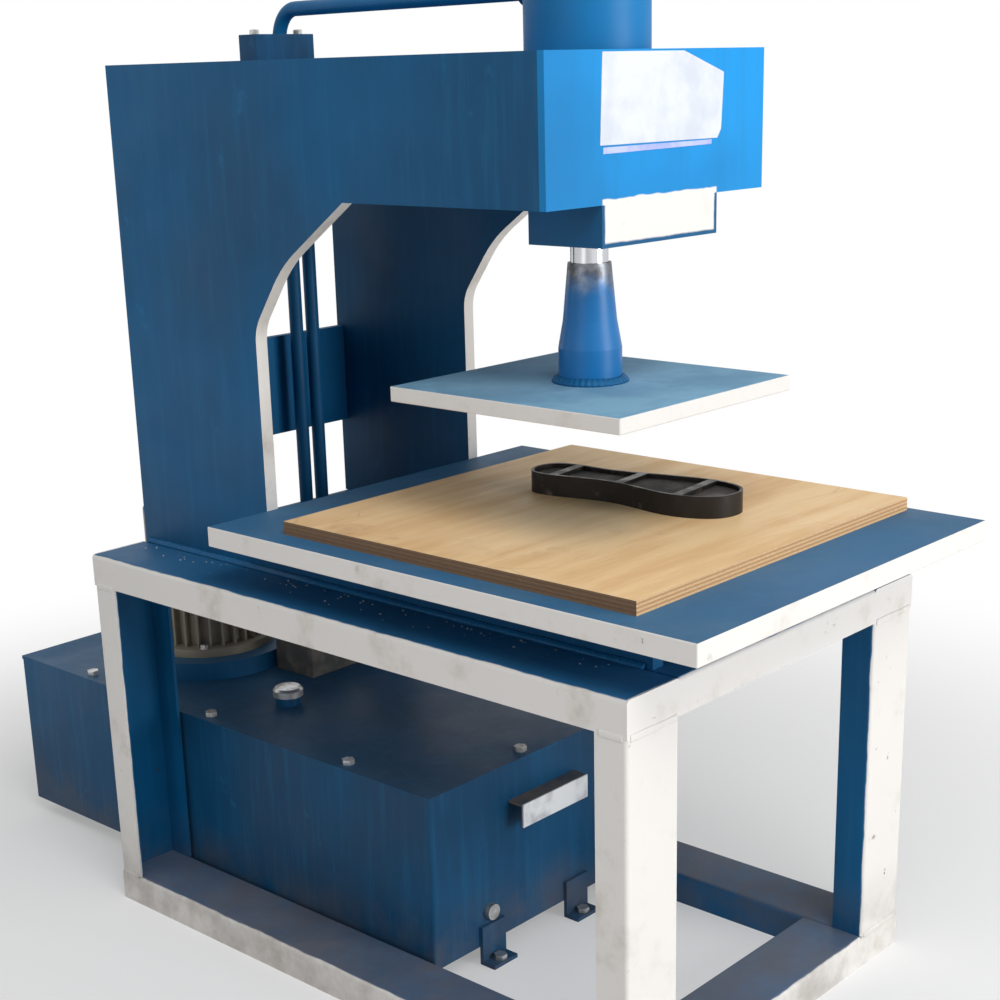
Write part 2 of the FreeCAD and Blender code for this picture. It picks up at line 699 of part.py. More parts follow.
cap_turn = direction(d.cap_pipe_x, pipe_y - ram_y)
rod_turn = direction(d.rod_pipe_x, pipe_y - ram_y)
cap_port_z = head_low + d.cap_port_rise
rod_port_z = head_low + d.rod_port_rise
pipe_bore = d.pipe_dia - d.pipe_wall * 2
ports = (("cap", cap_turn, cap_port_z), ("rod", rod_turn, rod_port_z))
barrel_bar = rod_piece("barrel_bar", d.barrel_dia, d.barrel_length, 0, ram_y, head_low)
barrel = subtract("cylinder_barrel", barrel_bar, [
    rod_piece("barrel_bore_bar", d.barrel_bore, d.barrel_length, 0, ram_y, head_low),
    *[rod_piece(f"barrel_port_{end}", pipe_bore, d.barrel_dia, 0, ram_y, z, turn)
      for end, turn, z in ports],
])
barrel.Label = "cylinder_barrel"
nodes.append(barrel)
turned("cylinder_cap", [
    (0, -d.cap_spigot), (d.barrel_bore / 2, -d.cap_spigot), (d.barrel_bore / 2, 0),
    (d.barrel_dia / 2, 0), (d.barrel_dia / 2, d.cap_thick), (0, d.cap_thick),
], 0, ram_y, head_low + d.barrel_length)

# Pipes: each rises from the valve block, bends once and runs level to its
# union on the barrel. Both runs point at the cylinder's axis.
lid_top = d.tank_lift + d.tank_height + d.lid_thick
valve_top = lid_top + d.valve_height
union_end = d.barrel_dia / 2 + d.union_length
unions = []
for end, x, turn, port_z in (
    ("cap", d.cap_pipe_x, cap_turn, cap_port_z),
    ("rod", d.rod_pipe_x, rod_turn, rod_port_z),
):
    label = f"pipe_{end}_end"
    rise = port_z - valve_top - d.pipe_bend
    reach = hypotenuse(x, pipe_y - ram_y) - union_end
    pipe = new_body(label, x, pipe_y, valve_top, direction(-x, ram_y - pipe_y))
    path = new_sketch(pipe, label + "_path", "XZ_Plane")
    low, bend, level = (0, 0), (0, rise), (d.pipe_bend, rise + d.pipe_bend)
    far = (reach, rise + d.pipe_bend)
    spots = [Vector(as_size(u).value, as_size(v).value, 0) for u, v in (low, bend, level, far)]
    path.addGeometry(Part.LineSegment(spots[0], spots[1]), False)
    path.addGeometry(Part.LineSegment(spots[2], spots[3]), False)
    arc_centre = Vector(d.pipe_bend.value, rise.value, 0)
    circle = Part.Circle(arc_centre, Vector(0, 0, 1), d.pipe_bend.value)
    path.addGeometry(Part.ArcOfCircle(circle, math.pi / 2, math.pi), False)
    for geo, pos, point in ((0, 1, low), (0, 2, bend), (1, 1, level), (1, 2, far)):
        fix_point(path, geo, pos, point)
    path.addConstraint(Sketcher.Constraint("Coincident", 2, 2, 0, 2))
    path.addConstraint(Sketcher.Constraint("Tangent", 2, 1, 1, 1))
    ring = new_sketch(pipe, label + "_ring", "XY_Plane")
    add_circle(ring, d.pipe_dia)
    add_circle(ring, pipe_bore)
    sweep = pipe.newObject("PartDesign::AdditivePipe", label + "_sweep")
    sweep.Profile = ring
    sweep.Spine = (path, ["Edge1", "Edge3", "Edge2"])
    outside = rod_piece(f"union_{end}_bar", d.union_dia, union_end, 0, ram_y, port_z, turn)
    inside = rod_piece(f"union_{end}_barrel", d.barrel_dia, d.barrel_length, 0, ram_y, head_low)
    hollow = rod_piece(f"union_{end}_bore", pipe_bore, union_end, 0, ram_y, port_z, turn)
    unions.append(subtract(f"union_{end}", outside, [inside, hollow]))
group("port_unions", unions)
valve_x = (d.cap_pipe_x + d.rod_pipe_x) / 2
slab("valve_block", d.valve_width, d.valve_depth, d.valve_height, valve_x, pipe_y, lid_top,
     (), d.plate_chamfer)
nuts = []
for end, x in (("cap", d.cap_pipe_x), ("rod", d.rod_pipe_x)):
    nut = hex_head(f"nut_{end}", d.nut_flats, d.nut_height, x, pipe_y, valve_top)
    hole = rod_piece(f"nut_{end}_hole", d.pipe_dia, d.nut_height, x, pipe_y, valve_top)
    nuts.append(subtract(f"pipe_nut_{end}", nut, [hole]))
group("pipe_nuts", nuts)
slab("pipe_clamp", d.clamp_width, d.clamp_depth, d.clamp_height, d.clamp_shift, pipe_y, head_top,
     [(d.pipe_dia, d.cap_pipe_x - d.clamp_shift, 0)], d.plate_chamfer)

# Oil tank: welded sheet box on four angle feet, bolted lid, filler and handle.
tank_width = d.table_width - d.channel_web * 2 - d.tank_side_gap * 2
tank_face = front + d.table_depth + d.tank_back - d.tank_length
tank_mid = tank_face + d.tank_length / 2
tank = new_body("tank_body", 0, tank_mid, d.tank_lift)
tank_outline = new_sketch(tank, "tank_body_outline", "XY_Plane")
add_rectangle(tank_outline, tank_width, d.tank_length)
tank_solid = pad(tank, tank_outline, d.tank_height)
half_w, half_l = tank_width.value / 2, d.tank_length.value / 2
tank_edges = [(sx * half_w, sy * half_l, d.tank_height.value / 2) for sx in (-1, 1) for sy in (-1, 1)]
soften(tank, tank_solid, "Fillet", d.tank_corner, tank_edges)
inside = new_sketch(tank, "tank_body_inside", "XY_Plane", d.tank_height)
add_rectangle(inside, tank_width - d.tank_wall * 2, d.tank_length - d.tank_wall * 2)
cut(tank, inside, d.tank_height - d.tank_wall)
motor_y = front + d.table_depth + d.motor_line
filler_y = motor_y - d.filler_line
filler_bore = d.filler_dia - d.tank_wall * 2
slab("tank_lid", tank_width, d.tank_length, d.lid_thick, 0, tank_mid, lid_top - d.lid_thick,
     [(d.bell_dia - d.bell_wall * 2, 0, motor_y - tank_mid),
      (filler_bore, -d.filler_x, filler_y - tank_mid)])
side_x = tank_width / 2 - d.lid_bolt_inset
end_y = d.tank_length / 2 - d.lid_bolt_inset
bolt_spots = [(side * side_x, tank_mid + step * d.lid_bolt_pitch)
              for side in (-1, 1) for step in (-1, 0, 1)]
bolt_spots += [(as_size(0), tank_mid + side * end_y) for side in (-1, 1)]
group("lid_bolts", [
    hex_head(f"lid_bolt_{i}", d.bolt_flats, d.bolt_head, x, y, lid_top)
    for i, (x, y) in enumerate(bolt_spots)
])
turned("filler_neck", [
    (filler_bore / 2, 0), (d.filler_dia / 2, 0), (d.filler_dia / 2, d.filler_height),
    (filler_bore / 2, d.filler_height),
], -d.filler_x, filler_y, lid_top)
turned("filler_cap", [
    (0, 0), (d.filler_cap_dia / 2, 0), (d.filler_cap_dia / 2, d.filler_cap_height - d.tank_wall),
    (d.filler_cap_dia / 2 - d.tank_wall, d.filler_cap_height), (0, d.filler_cap_height),
], -d.filler_x, filler_y, lid_top + d.filler_height)
handle = new_body("tank_handle", d.handle_shift - d.handle_width / 2, tank_face, d.handle_top)
handle_section = new_sketch(handle, "tank_handle_section", "YZ_Plane")
add_polygon(handle_section, [
    (0, 0), (0, -d.handle_wall), (d.handle_wall - d.handle_reach, -d.handle_wall),
    (d.handle_wall - d.handle_reach, -d.handle_drop), (-d.handle_reach, -d.handle_drop),
    (-d.handle_reach, 0),
])
pad(handle, handle_section, d.handle_width)
feet, foot_bolts = [], []
for end, face, out in (("front", tank_face, -1), ("back", tank_face + d.tank_length, 1)):
    for side, sign in (("left", -1), ("right", 1)):
        foot_x = d.foot_spread * sign
        leaf = doc.addObject("Part::Box", f"foot_leaf_{end}_{side}")
        bind(leaf, "Length", d.foot_width)
        bind(leaf, "Width", d.foot_reach)
        bind(leaf, "Height", d.foot_wall)
        place(leaf, foot_x - d.foot_width / 2, face - d.foot_reach if out < 0 else face, 0)
        upright = doc.addObject("Part::Box", f"foot_upright_{end}_{side}")
        bind(upright, "Length", d.foot_width)
        bind(upright, "Width", d.foot_wall)
        bind(upright, "Height", d.foot_rise)
        place(upright, foot_x - d.foot_width / 2, face - d.foot_wall if out < 0 else face, 0)
        foot = doc.addObject("Part::Fuse", f"foot_{end}_{side}")
        foot.Base = leaf
        foot.Tool = upright
        foot.Refine = True
        feet.append(foot)
        bolt_y = face + out * (d.foot_wall + d.foot_reach) / 2
        foot_bolts.append(hex_head(
            f"foot_bolt_{end}_{side}", d.bolt_flats, d.bolt_head, foot_x, bolt_y, d.foot_wall
        ))
group("tank_feet", feet)
group("foot_bolts", foot_bolts)
plug = rod_piece(
    "drain_plug", d.plug_dia, d.plug_reach, -d.plug_shift, tank_face,
    d.tank_lift + d.plug_rise, as_size(-90),
)
plug.Label = "drain_plug"
nodes.append(plug)

# Motor: adaptor ring on the lid, flanged finned shell, rotor, fan and cowl.
turned("motor_adaptor", [
    (d.ring_bore / 2, 0), (d.ring_dia / 2, 0), (d.ring_dia / 2, d.ring_height),
    (d.ring_bore / 2, d.ring_height),
], 0, motor_y, lid_top)
motor_low = lid_top + d.ring_height
shell = turned("motor_shell", [
    (d.shaft_dia / 2 + d.shaft_fit, 0), (d.flange_dia / 2, 0), (d.flange_dia / 2, d.flange_thick),
    (d.motor_shell_dia / 2, d.flange_thick), (d.motor_shell_dia / 2, d.motor_height),
    (d.motor_bore / 2, d.motor_height), (d.motor_bore / 2, d.flange_thick),
    (d.shaft_dia / 2 + d.shaft_fit, d.flange_thick),
], 0, motor_y, motor_low)
fin_root = d.motor_shell_dia / 2 - d.fin_thick / 2
fin_tip = d.motor_dia / 2
fin_sketch = new_sketch(shell, "motor_fin_outline", "XY_Plane", d.flange_thick)
add_rectangle(fin_sketch, fin_tip - fin_root, d.fin_thick, (fin_tip + fin_root) / 2, 0)
fin = pad(shell, fin_sketch, d.motor_height - d.flange_thick)
fins = shell.newObject("PartDesign::PolarPattern", "motor_fins")
fins.Originals = [fin]
fins.Axis = (fin_sketch, ["N_Axis"])
fins.Angle = 360
bind(fins, "Occurrences", d.fin_count)
shell.Tip = fins
box_low = d.flange_thick + d.box_height / 2
pad_sketch = new_sketch(shell, "motor_box_pad_outline", "XY_Plane", box_low)
pad_depth = d.box_pad_reach - fin_root
add_rectangle(pad_sketch, d.box_width, pad_depth, 0, d.box_pad_reach - pad_depth / 2)
pad(shell, pad_sketch, d.box_height)
shield_r = d.shaft_dia / 2 + d.shaft_fit
turned("motor_end_shield", [
    (shield_r, 0), (d.motor_dia / 2, 0), (d.motor_dia / 2, d.shield_thick), (shield_r, d.shield_thick),
], 0, motor_y, motor_low + d.motor_height)
shaft_low = -(d.ring_height + d.lid_thick + d.coupling_height / 2)
fan_low = d.motor_height + d.shield_thick + d.fan_gap
shaft_top = fan_low + d.fan_height
core_low = d.rotor_rise
core_high = d.rotor_rise + d.rotor_height
turned("motor_rotor", [
    (0, shaft_low), (d.shaft_dia / 2, shaft_low), (d.shaft_dia / 2, core_low),
    (d.rotor_dia / 2, core_low), (d.rotor_dia / 2, core_high), (d.shaft_dia / 2, core_high),
    (d.shaft_dia / 2, shaft_top), (0, shaft_top),
], 0, motor_y, motor_low)
fan = turned("motor_fan", [
    (d.shaft_dia / 2, 0), (d.fan_dia / 2, 0), (d.fan_dia / 2, d.fan_plate),
    (d.shaft_dia, d.fan_plate), (d.shaft_dia, d.fan_height), (d.shaft_dia / 2, d.fan_height),
], 0, motor_y, motor_low + fan_low)
blade_root = d.shaft_dia - d.fan_plate / 2
blade_tip = d.fan_dia / 2
blade_sketch = new_sketch(fan, "motor_blade_outline", "XY_Plane", d.fan_plate)
add_rectangle(blade_sketch, blade_tip - blade_root, d.fan_plate, (blade_tip + blade_root) / 2, 0)
blade = pad(fan, blade_sketch, d.fan_height - d.fan_plate)
blades = fan.newObject("PartDesign::PolarPattern", "motor_blades")
blades.Originals = [blade]
blades.Axis = (blade_sketch, ["N_Axis"])
blades.Angle = 360
bind(blades, "Occurrences", d.fan_blades)
fan.Tip = blades
cowl_in = d.motor_dia / 2
cowl_r = cowl_in + d.cowl_wall
cowl = turned("fan_cowl", [
    (cowl_in, 0), (cowl_r, 0), (cowl_r, d.cowl_height), (0, d.cowl_height),
    (0, d.cowl_height - d.cowl_wall), (cowl_in, d.cowl_height - d.cowl_wall),
], 0, motor_y, motor_low + d.motor_height)
slot_sketch = new_sketch(cowl, "fan_cowl_slot", "XY_Plane", d.cowl_height)
slot_in, slot_out = d.shaft_dia, d.fan_dia / 2
add_rectangle(slot_sketch, slot_out - slot_in, d.fan_plate * 1.5, (slot_out + slot_in) / 2, 0)
slot = cut(cowl, slot_sketch, d.cowl_wall * 2)
slots = cowl.newObject("PartDesign::PolarPattern", "fan_cowl_slots")
slots.Originals = [slot]
slots.Axis = (slot_sketch, ["N_Axis"])
slots.Angle = 360
bind(slots, "Occurrences", d.cowl_slots)
cowl.Tip = slots
box_y = motor_y + d.box_pad_reach
box = slab("terminal_box", d.box_width, d.box_reach, d.box_height,
           0, box_y + d.box_reach / 2, motor_low + box_low, (), d.plate_chamfer)
gland_sketch = new_sketch(box, "terminal_box_gland", "XY_Plane")
add_circle(gland_sketch, d.gland_nut_dia)
pad(box, gland_sketch, d.gland_nut_length, reverse=True)

# Pump inside the tank: bell under the lid, coupling, gear pump and strainer.
bell_top = lid_top - d.lid_thick
bell_low = bell_top - d.bell_height
bell_in = d.bell_dia / 2 - d.bell_wall
turned("pump_bell", [
    (d.coupling_dia / 2 + d.bell_wall, 0), (d.bell_dia / 2, 0),
    (d.bell_dia / 2, d.bell_height - d.bell_wall), (d.bell_flange / 2, d.bell_height - d.bell_wall),
    (d.bell_flange / 2, d.bell_height), (bell_in, d.bell_height), (bell_in, d.bell_wall),
    (d.coupling_dia / 2 + d.bell_wall, d.bell_wall),
], 0, motor_y, bell_low)
coupling_low = motor_low + shaft_low - d.coupling_height / 2
turned("shaft_coupling", [
    (0, 0), (d.coupling_dia / 2, 0), (d.coupling_dia / 2, d.coupling_height),
    (d.shaft_dia / 2, d.coupling_height), (d.shaft_dia / 2, d.coupling_height / 2),
    (0, d.coupling_height / 2),
], 0, motor_y, coupling_low)
stub_depth = d.pump_height / 4
pump_top = bell_low
pump = slab("pump_body", d.pump_width, d.pump_width, d.pump_height, 0, motor_y,
            pump_top - d.pump_height, (), d.plate_chamfer)
pump_spigot = new_sketch(pump, "pump_body_spigot", "XY_Plane", d.pump_height)
add_circle(pump_spigot, d.coupling_dia + d.bell_wall * 2)
pad(pump, pump_spigot, d.bell_wall)
stub_bore = new_sketch(pump, "pump_body_stub_bore", "XY_Plane", d.pump_height + d.bell_wall)
add_circle(stub_bore, d.shaft_dia + d.shaft_fit * 2)
cut(pump, stub_bore, stub_depth + d.bell_wall)
stub_low = pump_top - stub_depth + d.fan_gap
turned("pump_shaft", [
    (0, 0), (d.shaft_dia / 2, 0), (d.shaft_dia / 2, coupling_low - stub_low),
    (0, coupling_low - stub_low),
], 0, motor_y, stub_low)
turned("suction_strainer", [
    (0, 0), (d.strainer_dia / 2, 0), (d.strainer_dia / 2, d.strainer_height),
    (0, d.strainer_height),
], 0, motor_y, pump_top - d.pump_height - d.strainer_height)

# Every piece is checked and written under its own label.
doc.recompute()
for obj in doc.Objects:
    if any(word in obj.State for word in ("Invalid", "Error")):
        raise RuntimeError(f"{obj.Label} did not build: {obj.State}")
for piece in nodes:
    if piece.Shape.isNull() or not piece.Shape.isValid():
        raise RuntimeError(f"{piece.Label} has no valid shape")
    piece.Shape.exportStep(f"parts/{piece.Label}.step")
print(len(nodes), "pieces written")
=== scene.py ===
import math

import bpy
import numpy as np
from mathutils import Matrix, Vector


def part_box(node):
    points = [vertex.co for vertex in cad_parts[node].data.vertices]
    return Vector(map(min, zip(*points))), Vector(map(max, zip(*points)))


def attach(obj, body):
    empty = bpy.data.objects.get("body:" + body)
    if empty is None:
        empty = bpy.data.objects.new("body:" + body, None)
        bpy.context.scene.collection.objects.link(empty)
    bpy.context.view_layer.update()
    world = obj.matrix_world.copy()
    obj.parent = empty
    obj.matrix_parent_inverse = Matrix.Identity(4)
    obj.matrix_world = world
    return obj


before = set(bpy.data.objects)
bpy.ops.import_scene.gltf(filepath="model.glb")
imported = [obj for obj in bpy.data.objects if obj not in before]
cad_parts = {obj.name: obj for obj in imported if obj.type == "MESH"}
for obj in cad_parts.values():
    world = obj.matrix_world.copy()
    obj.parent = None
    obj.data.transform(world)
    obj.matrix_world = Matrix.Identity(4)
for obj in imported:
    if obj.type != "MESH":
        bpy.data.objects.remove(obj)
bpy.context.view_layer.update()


# Camera: it stands in front of the press and to its left, a little below the
# top of the head, and looks down across the corner of the table.
def standing(right, up, back, place):
    """The matrix whose columns are three axes and a place."""
    stand = np.eye(4)
    stand[:3] = np.stack([right, up, back, place], axis=1)
    return Matrix(stand.tolist())


EYE = (-1.7520, -1.7910, 1.2473)
YAW, PITCH, ROLL = (math.radians(angle) for angle in (47.598, 17.094, 1.470))
FRAME_PX, FOCAL_PX, MIDDLE_PX = 1000.0, 1721.1, (500.0, 600.0)
SENSOR_MM, VIEW_DEPTH = 36.0, 60
ahead = np.array([math.sin(YAW) * math.cos(PITCH), math.cos(YAW) * math.cos(PITCH), -math.sin(PITCH)])
sideways = np.cross(ahead, (0, 0, 1))
sideways /= np.linalg.norm(sideways)
down = np.cross(ahead, sideways)
image_right = math.cos(ROLL) * sideways + math.sin(ROLL) * down
image_down = math.cos(ROLL) * down - math.sin(ROLL) * sideways
lens = bpy.data.cameras.new("photo_camera")
lens.sensor_width = SENSOR_MM
lens.lens = FOCAL_PX / FRAME_PX * SENSOR_MM
lens.shift_x = 0.5 - MIDDLE_PX[0] / FRAME_PX
lens.shift_y = MIDDLE_PX[1] / FRAME_PX - 0.5
lens.clip_end = VIEW_DEPTH
camera = bpy.data.objects.new("photo_camera", lens)
camera.matrix_world = standing(image_right, -image_down, -ahead, EYE)
bpy.context.collection.objects.link(camera)
bpy.context.scene.camera = camera
bpy.context.scene.view_settings.view_transform = "Standard"


# Table legs and rails: folded 100 mm channel, welded and brushed with blue
# enamel; the outward faces carry a second coat of white, cut in by hand.
class Finish:
    """A node material. `put` adds a node, sets or wires its inputs and gives back one output."""

    def __init__(self, name):
        self.material = bpy.data.materials.new(name)
        self.material.use_nodes = True
        self.nodes = self.material.node_tree.nodes
        self.links = self.material.node_tree.links
        self.shader = self.nodes["Principled BSDF"]
        place = self.nodes.new("ShaderNodeTexCoord")
        self.place = place.outputs["Object"]
        self.x, self.y, self.z = self.parts(self.place)
        self.nx, _, self.nz = self.parts(place.outputs["Normal"])

    def put(self, kind, inputs, output=0, **settings):
        node = self.nodes.new("ShaderNode" + kind)
        for key, value in settings.items():
            setattr(node, key, value)
        for key, value in inputs.items():
            self.feed(node.inputs[key], value)
        return node.outputs[output]

    def feed(self, socket, value):
        """Wires an output to a socket, or sets the socket to a plain value."""
        if isinstance(value, bpy.types.NodeSocket):
            self.links.new(value, socket)
        else:
            socket.default_value = value

    def parts(self, vector):
        node = self.nodes.new("ShaderNodeSeparateXYZ")
        self.links.new(vector, node.inputs[0])
        return node.outputs[0], node.outputs[1], node.outputs[2]

    def stretched(self, scale):
        """Object coordinates multiplied by `scale` along each axis."""
        return self.put("Mapping", {"Vector": self.place, "Scale": scale})

    def noise(self, scale, detail=4.0, rough=0.55, vector=None):
        inputs = {"Vector": vector or self.place, "Scale": scale, "Detail": detail, "Roughness": rough}
        return self.put("TexNoise", inputs)

    def waver(self, scale, detail, reach, rough=0.55):
        """An uneven offset about zero, for an edge that was cut in by hand: (noise - 0.5) reach."""
        return self.times(self.calc("SUBTRACT", self.noise(scale, detail, rough), 0.5), reach)

    def calc(self, operation, a, b=0.0):
        return self.put("Math", {0: a, 1: b}, operation=operation)

    def times(self, product, *factors):
        for factor in factors:
            product = self.calc("MULTIPLY", product, factor)
        return product

    def span(self, value, start, end, to_start=0.0, to_end=1.0):
        """`value` carried from start..end to to_start..to_end, and held there."""
        inputs = {"Value": value, "From Min": start, "From Max": end, "To Min": to_start, "To Max": to_end}
        return self.put("MapRange", inputs, interpolation_type="SMOOTHSTEP")

    def above(self, value, limit, feather):
        """0 up to the limit, 1 from a feather's width past it."""
        return self.span(value, limit, limit + feather)

    def below(self, value, limit, feather):
        """1 up to the limit, 0 from a feather's width past it."""
        return self.span(value, limit, limit + feather, 1, 0)

    def blend(self, share, a, b):
        """Colour a where share is 0, colour b where it is 1."""
        return self.put("Mix", {0: share, 6: a, 7: b}, 2, data_type="RGBA")

    def mottle(self, cloud, start, end, a, b):
        """Colour a where the noise `cloud` is under start, colour b where it is over end."""
        return self.blend(self.span(cloud, start, end), a, b)

    def bump(self, height, strength, depth, under=None):
        inputs = {"Height": height, "Strength": strength, "Distance": depth}
        if under is not None:
            inputs["Normal"] = under
        return self.put("Bump", inputs)

    def set(self, **inputs):
        """Feeds the shader's inputs, with _ for the spaces in their names."""
        for key, value in inputs.items():
            self.feed(self.shader.inputs[key.replace("_", " ")], value)
        return self.material


def rgb(red, green, blue):
    """Linear colour from the 0 to 255 steps of a screen colour."""
    steps = np.array([red, green, blue]) / 255
    linear = np.where(steps <= 0.04045, steps / 12.92, ((steps + 0.055) / 1.055) ** 2.4)
    return (*linear.tolist(), 1.0)


def dress(material, *names):
    """Puts a material in the slot of each named CAD node."""
    for name in names:
        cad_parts[name].data.materials.clear()
        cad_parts[name].data.materials.append(material)


BLUE, BLUE_DEEP, BLUE_WORN = rgb(6, 90, 138), rgb(4, 72, 112), rgb(24, 108, 152)
WHITE, WHITE_GREY, SCUFF = rgb(217, 214, 210), rgb(186, 178, 168), rgb(96, 84, 72)
PRIMER, DUST, FLOOR_DUST = rgb(58, 52, 50), rgb(96, 126, 146), rgb(134, 122, 110)
BRUSH_LINES, ENAMEL_SHINE = (70, 70, 5), 0.22


def enamel(name, white=None, dust_and_sheen_share=0.25, chipped=0.5, grime=None, tone=1.0, dust_and_sheen=DUST):
    """Brushed enamel: broad patches of two blues, `tone` times as bright, with brush lines, rubbed
    spots, a film on top faces and chips down to the primer. On the head front, column plates and
    cylinder a `tone` over 1 is painted light; on the side plates, tank and lid a `tone` under 1 is
    painted shade. The film is dust, and on the platen also a painted reflection of the sky.
    `white(finish)` gives the share of a white coat; `grime` is (z where dirt starts, z where it is full)."""
    f = Finish(name)
    deep, bright = ([c * tone for c in colour[:3]] + [1.0] for colour in (BLUE_DEEP, BLUE))
    colour = f.mottle(f.noise(2.6, 3.0), 0.32, 0.68, deep, bright)
    strokes = f.noise(1.0, 5.0, 0.6, f.stretched(BRUSH_LINES))
    colour = f.blend(f.span(strokes, 0.45, 0.75, 0, 0.22), colour, BLUE_WORN)
    spots = f.noise(16, 8.0, 0.68)
    colour = f.blend(f.span(spots, 0.62, 0.74, 0, 0.45), colour, BLUE_WORN)
    # Top faces take a film: dust, and on the platen also a painted reflection of the sky.
    on_top = f.span(f.nz, 0.6, 0.95)
    film = f.times(on_top, f.span(f.noise(7, 6.0, 0.6), 0.35, 0.75, dust_and_sheen_share * 0.5, dust_and_sheen_share))
    colour = f.blend(film, colour, dust_and_sheen)
    if white is not None:
        pale = f.mottle(f.noise(9, 7.0, 0.65), 0.52, 0.80, WHITE, WHITE_GREY)
        rub = f.times(f.span(f.noise(34, 6.0, 0.7), 0.62, 0.74), f.span(f.noise(3.1, 2.0), 0.45, 0.62))
        pale = f.blend(f.times(rub, chipped), pale, SCUFF)
        colour = f.blend(white(f), colour, pale)
    chips = f.times(f.span(f.noise(48, 5.0, 0.62), 0.70, 0.74), f.span(f.noise(4.0, 2.0), 0.46, 0.66))
    colour = f.blend(f.times(chips, chipped), colour, PRIMER)
    if grime is not None:
        dirt = f.times(f.span(f.z, *grime), f.span(f.noise(11, 6.0, 0.65), 0.3, 0.7))
        colour = f.blend(f.times(dirt, 0.45), colour, SCUFF)
    gloss = f.span(f.noise(5, 5.0, 0.6), 0.3, 0.7, 0.40, 0.56)
    gloss = f.calc("ADD", gloss, f.times(film, 0.3))
    brushed = f.bump(strokes, 0.10, 0.0012)
    grain = f.calc("SUBTRACT", f.noise(120, 3.0), f.times(chips, 3.0))
    skin = f.bump(grain, 0.12, 0.0006, brushed)
    return f.set(Base_Color=colour, Roughness=gloss, Normal=skin, Specular_IOR_Level=ENAMEL_SHINE)


table_low, table_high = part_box("top_rail_left")[0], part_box("top_rail_right")[1]
CUT_IN, CUT_WAVER = 0.004, 0.004


def outward_white(f):
    """White where the face lies on the outside of the table, with a wavering brushed edge."""
    waver = f.waver(24, 2.0, CUT_WAVER)
    width = f.calc("ADD", f.calc("ABSOLUTE", f.x), waver)
    depth = f.calc("ADD", f.y, waver)
    side = f.above(width, table_high[0] - CUT_IN, CUT_IN / 2)
    near = f.below(depth, table_low[1] + CUT_IN / 2, CUT_IN / 2)
    far = f.above(depth, table_high[1] - CUT_IN, CUT_IN / 2)
    return f.calc("MAXIMUM", side, f.calc("MAXIMUM", near, far))


LEGS = [f"leg_{end}_{side}" for end in ("front", "back") for side in ("left", "right")]
FLOOR_GRIME = (0.16, 0.02)
channel_finish = enamel("channel_enamel", outward_white, dust_and_sheen_share=0.2, chipped=0.8, grime=FLOOR_GRIME)
dress(channel_finish, *LEGS)
dress(channel_finish, "top_rail_left", "top_rail_right", "top_rail_front", "top_rail_back")
rail_finish = enamel("floor_rail_enamel", outward_white, dust_and_sheen_share=0.5, chipped=0.9, grime=FLOOR_GRIME,
                     dust_and_sheen=FLOOR_DUST)
dress(rail_finish, "floor_rail_left", "floor_rail_right", "floor_rail_front")
dress(enamel("table_enamel", dust_and_sheen_share=0.2), "table_top")


# Rail ends: small plates of 3 mm steel welded into the open channel ends and
# painted over, so that the corners of the table look closed.
def place_mesh(name, points, faces, material, body="base", smooth=True):
    """Makes one piece of the scene from a vertex array and its faces, in the given material, riding on a
    body."""
    mesh = bpy.data.meshes.new(name)
    mesh.from_pydata(np.asarray(points, float).reshape(-1, 3).tolist(), [], faces)
    mesh.polygons.foreach_set("use_smooth", [smooth] * len(mesh.polygons))
    mesh.materials.append(material)
    piece = bpy.data.objects.new(name, mesh)
    bpy.context.collection.objects.link(piece)
    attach(piece, body)


def tube_faces(rings, around):
    """Quads of a closed tube of `rings` rings with `around` points, and both end caps."""
    i, j = np.meshgrid(np.arange(rings - 1), np.arange(around), indexing="ij")
    k = (j + 1) % around
    quads = np.stack([i * around + j, i * around + k, (i + 1) * around + k, (i + 1) * around + j], axis=-1)
    last = (rings - 1) * around
    caps = [list(range(around))[::-1], list(range(last, last + around))]
    return quads.reshape(-1, 4).tolist() + caps


def end_plate(name, low, high, material):
    """A plate with square edges between two corners: one rectangle at the foot, one at the top."""
    x, y, z = zip(low, high)
    ring = [(x[0], y[0]), (x[1], y[0]), (x[1], y[1]), (x[0], y[1])]
    points = [[(*corner, height) for corner in ring] for height in z]
    place_mesh(name, points, tube_faces(2, 4), material, smooth=False)


END_THICK, CHANNEL_WALL = 0.003, 0.005
for level, finish in (("top", channel_finish), ("floor", rail_finish)):
    for side in ("left", "right"):
        rail_low, rail_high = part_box(f"{level}_rail_{side}")
        for end, y in (("front", rail_low[1]), ("back", rail_high[1] - END_THICK)):
            low = (rail_low[0] + CHANNEL_WALL, y, rail_low[2])
            high = (rail_high[0] - CHANNEL_WALL, y + END_THICK, rail_high[2] - CHANNEL_WALL)
            end_plate(f"{level}_rail_{side}_{end}_end", low, high, finish)

# Weld beads: hand-laid welds close the joints of the frame. A fillet is a
# rippled quarter round in the corner of two faces, a seam a low half round.
RIPPLE, WANDER, RING_STEP, ARC_POINTS = 0.14, 0.10, 0.0018, 7


def weld_rows(path, first, second, radius, pitch=0.006, sweep=np.pi / 2):
    """Rings of a weld along `path` (n, 3). Each ring is the path's point and an arc, t from 0 to sweep:
    point + r (cos t first + sin t second). Along the run s the radius swells with each ripple,
    |sin(pi s / pitch)|, and wanders slowly with sin(71 s) sin(29 s)."""
    run = np.r_[0, np.cumsum(np.linalg.norm(np.diff(path, axis=0), axis=1))]
    ripple = RIPPLE * np.abs(np.sin(np.pi * run / pitch))
    wander = WANDER * np.sin(run * 71) * np.sin(run * 29)
    r = radius * (1 + ripple + wander)
    t = np.linspace(0, sweep, ARC_POINTS)
    arc = np.cos(t)[None, :, None] * first[:, None] + np.sin(t)[None, :, None] * second[:, None]
    rings = path[:, None] + r[:, None, None] * arc
    return np.concatenate([rings, path[:, None]], axis=1)


